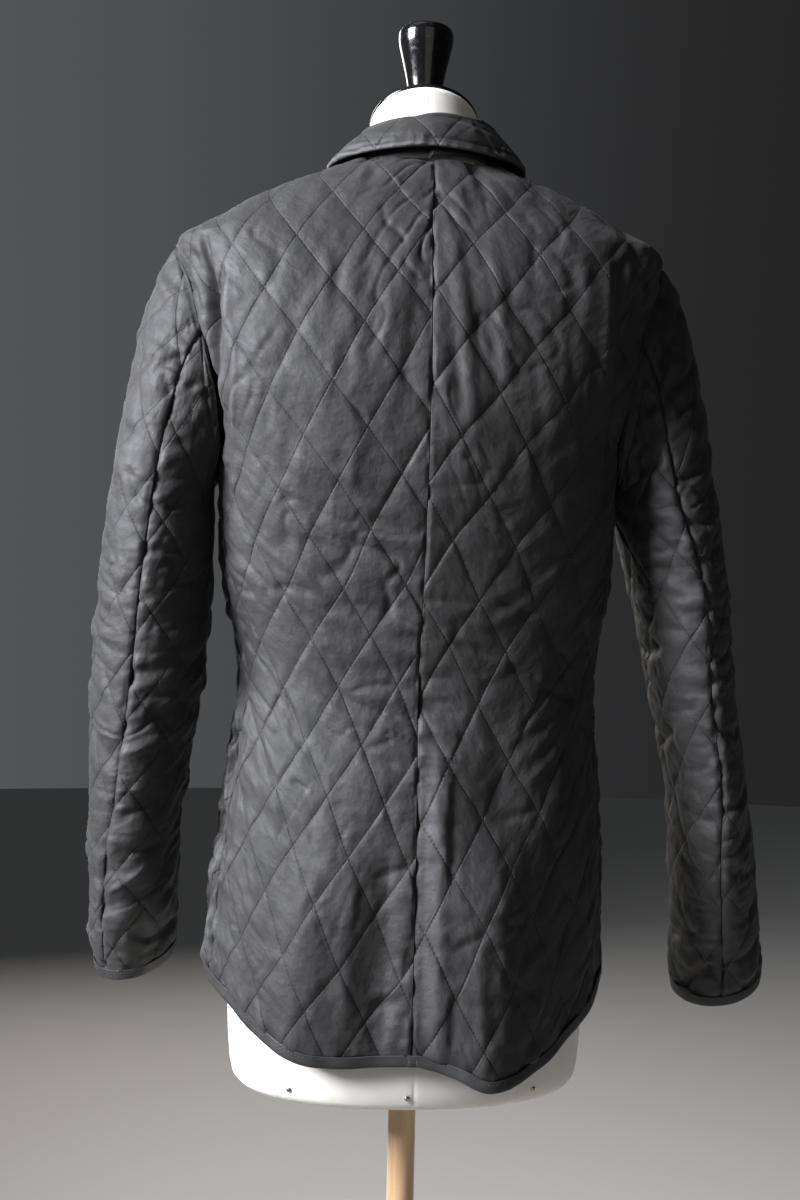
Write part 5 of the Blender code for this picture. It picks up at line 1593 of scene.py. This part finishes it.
# Dress form: rings from the flat underside to the slanted neck top; lean raises the back
formColumns = ("height", "halfWidth", "back", "front", "square", "lean")
formRings = (
    (0.6390, 0.1290, 0.0900, 0.0870, 2.2, 0.00),
    (0.6410, 0.1345, 0.0955, 0.0925, 2.2, 0.00),
    (0.6460, 0.1385, 0.0995, 0.0965, 2.2, 0.00),
    (0.6560, 0.1408, 0.1020, 0.0985, 2.2, 0.00),
    (0.6750, 0.1425, 0.1035, 0.1000, 2.2, 0.00),
    (0.7800, 0.1455, 0.1040, 0.0990, 2.2, 0.00),
    (0.8700, 0.1385, 0.0950, 0.0920, 2.2, 0.00),
    (0.9550, 0.1285, 0.0790, 0.0810, 2.2, 0.00),
    (1.0450, 0.1430, 0.0890, 0.0980, 2.3, 0.00),
    (1.1250, 0.1485, 0.1000, 0.1180, 2.4, 0.00),
    (1.1800, 0.1570, 0.1030, 0.1080, 2.5, 0.00),
    (1.2400, 0.1710, 0.0970, 0.0840, 2.5, 0.02),
    (1.2740, 0.1800, 0.0850, 0.0640, 2.5, 0.06),
    (1.2900, 0.1800, 0.0780, 0.0550, 2.4, 0.10),
    (1.3085, 0.1570, 0.0690, 0.0480, 2.3, 0.14),
    (1.3375, 0.1070, 0.0550, 0.0430, 2.1, 0.22),
    (1.3580, 0.0700, 0.0450, 0.0400, 2.0, 0.32),
    (1.3730, 0.0525, 0.0400, 0.0390, 2.0, 0.42),
    (1.3900, 0.0455, 0.0380, 0.0385, 2.0, 0.52),
    (1.4100, 0.0440, 0.0370, 0.0385, 2.0, 0.577),
)
form = {
    "seams": (-130.0, -90.0, -50.0, 0.0, 44.0, 90.0, 124.0, 180.0),  # angles of its cover's seams
    "seamDepth": 0.0005,
    "seamWidth": 0.35,  # degrees
    "meanRadius": 0.12,
    "seamSteps": (-1.2, -0.6, -0.3, 0.0, 0.3, 0.6, 1.2),  # extra points beside a seam, degrees
    "neckTilt": math.radians(30),
    "capGap": 0.0003,  # under the neck cap
    "knobFoot": 0.0046,  # where the knob meets the cap, above the neck's top
    # radius and height: the cap from the neck's top, the others from the floor
    "cap": (
        (0.0, 0.0040), (0.0415, 0.0040), (0.0433, 0.0037), (0.0443, 0.0029), (0.0445, 0.0018),
        (0.0441, 0.0006), (0.0432, 0.0), (0.0, 0.0),
    ),
    "knob": (
        (0.0, 1.4930), (0.0120, 1.4926), (0.0185, 1.4910), (0.0212, 1.4885), (0.0222, 1.4850),
        (0.0221, 1.4810), (0.0200, 1.4700), (0.0172, 1.4580), (0.0148, 1.4460), (0.0132, 1.4340),
        (0.0130, 1.4240), (0.0140, 1.4160), (0.0150, 1.4000), (0.0, 1.4000),
    ),
    "pole": (
        (0.0, 0.6387), (0.0109, 0.6387), (0.0111, 0.6380), (0.0111, 0.0460), (0.0109, 0.0453),
        (0.0, 0.0453),
    ),
    "base": (
        (0.0, 0.0450), (0.0200, 0.0450), (0.0240, 0.0425), (0.0260, 0.0360), (0.0330, 0.0290),
        (0.0600, 0.0250), (0.1700, 0.0200), (0.1780, 0.0165), (0.1800, 0.0110),
        (0.1800, 0.0040), (0.1760, 0.0000), (0.0, 0.0000),
    ),
}


def makeTorso():
    angles = set(np.arange(-176.0, 181.0, 4.0).tolist())
    for seam in form["seams"]:
        angles |= {seam + step for step in form["seamSteps"]}
    angles = np.array(sorted({round(a, 3) for a in angles if -180 < a <= 180}))
    foot = [row[0] for row in formRings[:5]]
    heights = np.concatenate([foot, np.linspace(0.68, 1.24, 70), np.linspace(1.245, 1.41, 60)])
    count = len(angles)
    rings = []
    for height in heights:
        ring = [ringValue(formRings, formColumns, name, height) for name in formColumns[1:]]
        groove = sum(
            np.exp(-(((angles - seam) / form["seamWidth"]) ** 2)) for seam in form["seams"]
        )
        *sizes, lean = ring
        x, y, _ = superellipse(angles, *sizes)
        inward = 1 - form["seamDepth"] * groove / form["meanRadius"]
        rings.append(np.stack([x * inward, y * inward, height + lean * y], axis=-1))
    points = np.concatenate(rings)
    faces = [tuple(range(count - 1, -1, -1))]
    for r in range(len(rings) - 1):
        faces += bandFaces(r * count, (r + 1) * count, count)
    faces.append(tuple((len(rings) - 1) * count + k for k in range(count)))
    return finishPiece("form_torso_jersey", points, faces, jersey)


def makeForm():
    torso = makeTorso()
    top = formRings[-1]
    middleY = (top[2] - top[3]) / 2
    middle = Vector((0, middleY, top[0] + top[5] * middleY))
    tilt = form["neckTilt"]
    axis = Vector((0, -math.sin(tilt), math.cos(tilt)))
    placed = Matrix.Translation(middle + axis * form["capGap"]) @ Matrix.Rotation(tilt, 4, "X")
    cap = turnedPiece("form_neck_cap_turned", form["cap"], 96, lacquer, 3, placed)
    foot = middle + axis * form["knobFoot"]
    knob = turnedPiece("form_knob_turned", form["knob"], 80, lacquer, 6, None, (foot, axis))
    pole = turnedPiece("form_pole_turned", form["pole"], 72, beech, 8)
    base = turnedPiece("form_base_turned", form["base"], 128, beech, 6)
    for piece, node, slot in (
        (torso, "form_torso", "form_jersey"), (cap, "form_neck_cap", "black_lacquer"),
        (knob, "form_knob", "black_lacquer"), (pole, "form_pole", "beech"),
        (base, "form_base", "beech"),
    ):
        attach(piece, "root")
        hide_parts(node)
    for number in range(1, 7):
        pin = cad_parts[f"form_pin_{number}"]
        for index in range(len(pin.material_slots)):
            pin.material_slots[index].material = pinSteel


makeForm()
print("dress form made")

lights = {  # place, aim height, size in metres, spread in degrees, watts, colour
    "window": ((2.05, 0.78, 2.05), 1.05, 1.1, 75, 47, "#fafbff"),
    "fill": ((-0.4, 2.6, 1.7), 1.0, 1.6, 180, 4, "#fff8f0"),
    "top": ((0.5, 0.1, 2.9), 1.2, 1.0, 180, 2, "#ffffff"),
    "front": ((0.7, -2.5, 1.9), 1.0, 1.6, 180, 40, "#fffaf4"),
}
floorDisc = {"radius": 7.0, "sides": 96, "height": -0.0005, "colour": "#b4b3b1"}
backdrop = {"dark": "#252526", "pale": "#545658", "from": -0.32, "to": 0.26}


def makeStage():
    radius, sides, height = floorDisc["radius"], floorDisc["sides"], floorDisc["height"]
    points, faces = [(0, 0, height)], []
    for k in range(sides):
        turn = 2 * math.pi * k / sides
        points.append((radius * math.cos(turn), radius * math.sin(turn), height))
        faces.append((0, 1 + k, 1 + (k + 1) % sides))
    paint = newMaterial("pale studio floor", Base_Color=floorDisc["colour"], Roughness=0.8)[0]
    floor = finishPiece("floor", np.array(points, float), faces, paint)
    for name, (place, aimHeight, size, spread, watts, colour) in lights.items():
        data = bpy.data.lights.new(name, "AREA")
        data.size, data.energy, data.color = size, watts, linear(colour)
        data.spread = math.radians(spread)  # a grid on the window light keeps it off the floor
        light = bpy.data.objects.new(name, data)
        light.location = place
        aim = Vector((0, 0, aimHeight)) - Vector(place)
        light.rotation_euler = aim.to_track_quat("-Z", "Y").to_euler()
        bpy.context.scene.collection.objects.link(light)
    world = bpy.data.worlds.new("studio")
    world.use_nodes = True
    # a grey backdrop that is lit from the wearer's left and falls off towards the right
    tree = world.node_tree
    toward = addNode(tree, "ShaderNodeTexCoord").outputs["Generated"]
    split = addNode(tree, "ShaderNodeSeparateXYZ", Vector=toward)
    across = addRange(
        tree, split.outputs["X"], backdrop["from"], backdrop["to"], interpolation_type="SMOOTHSTEP"
    )
    colour = colourSteps(tree, across, (0.0, backdrop["dark"]), (1.0, backdrop["pale"]))
    background = tree.nodes["Background"]
    tree.links.new(colour, background.inputs["Color"])
    background.inputs["Strength"].default_value = 1.0
    bpy.context.scene.world = world
    bpy.context.scene.view_settings.view_transform = "Standard"


makeStage()
print("stage made")
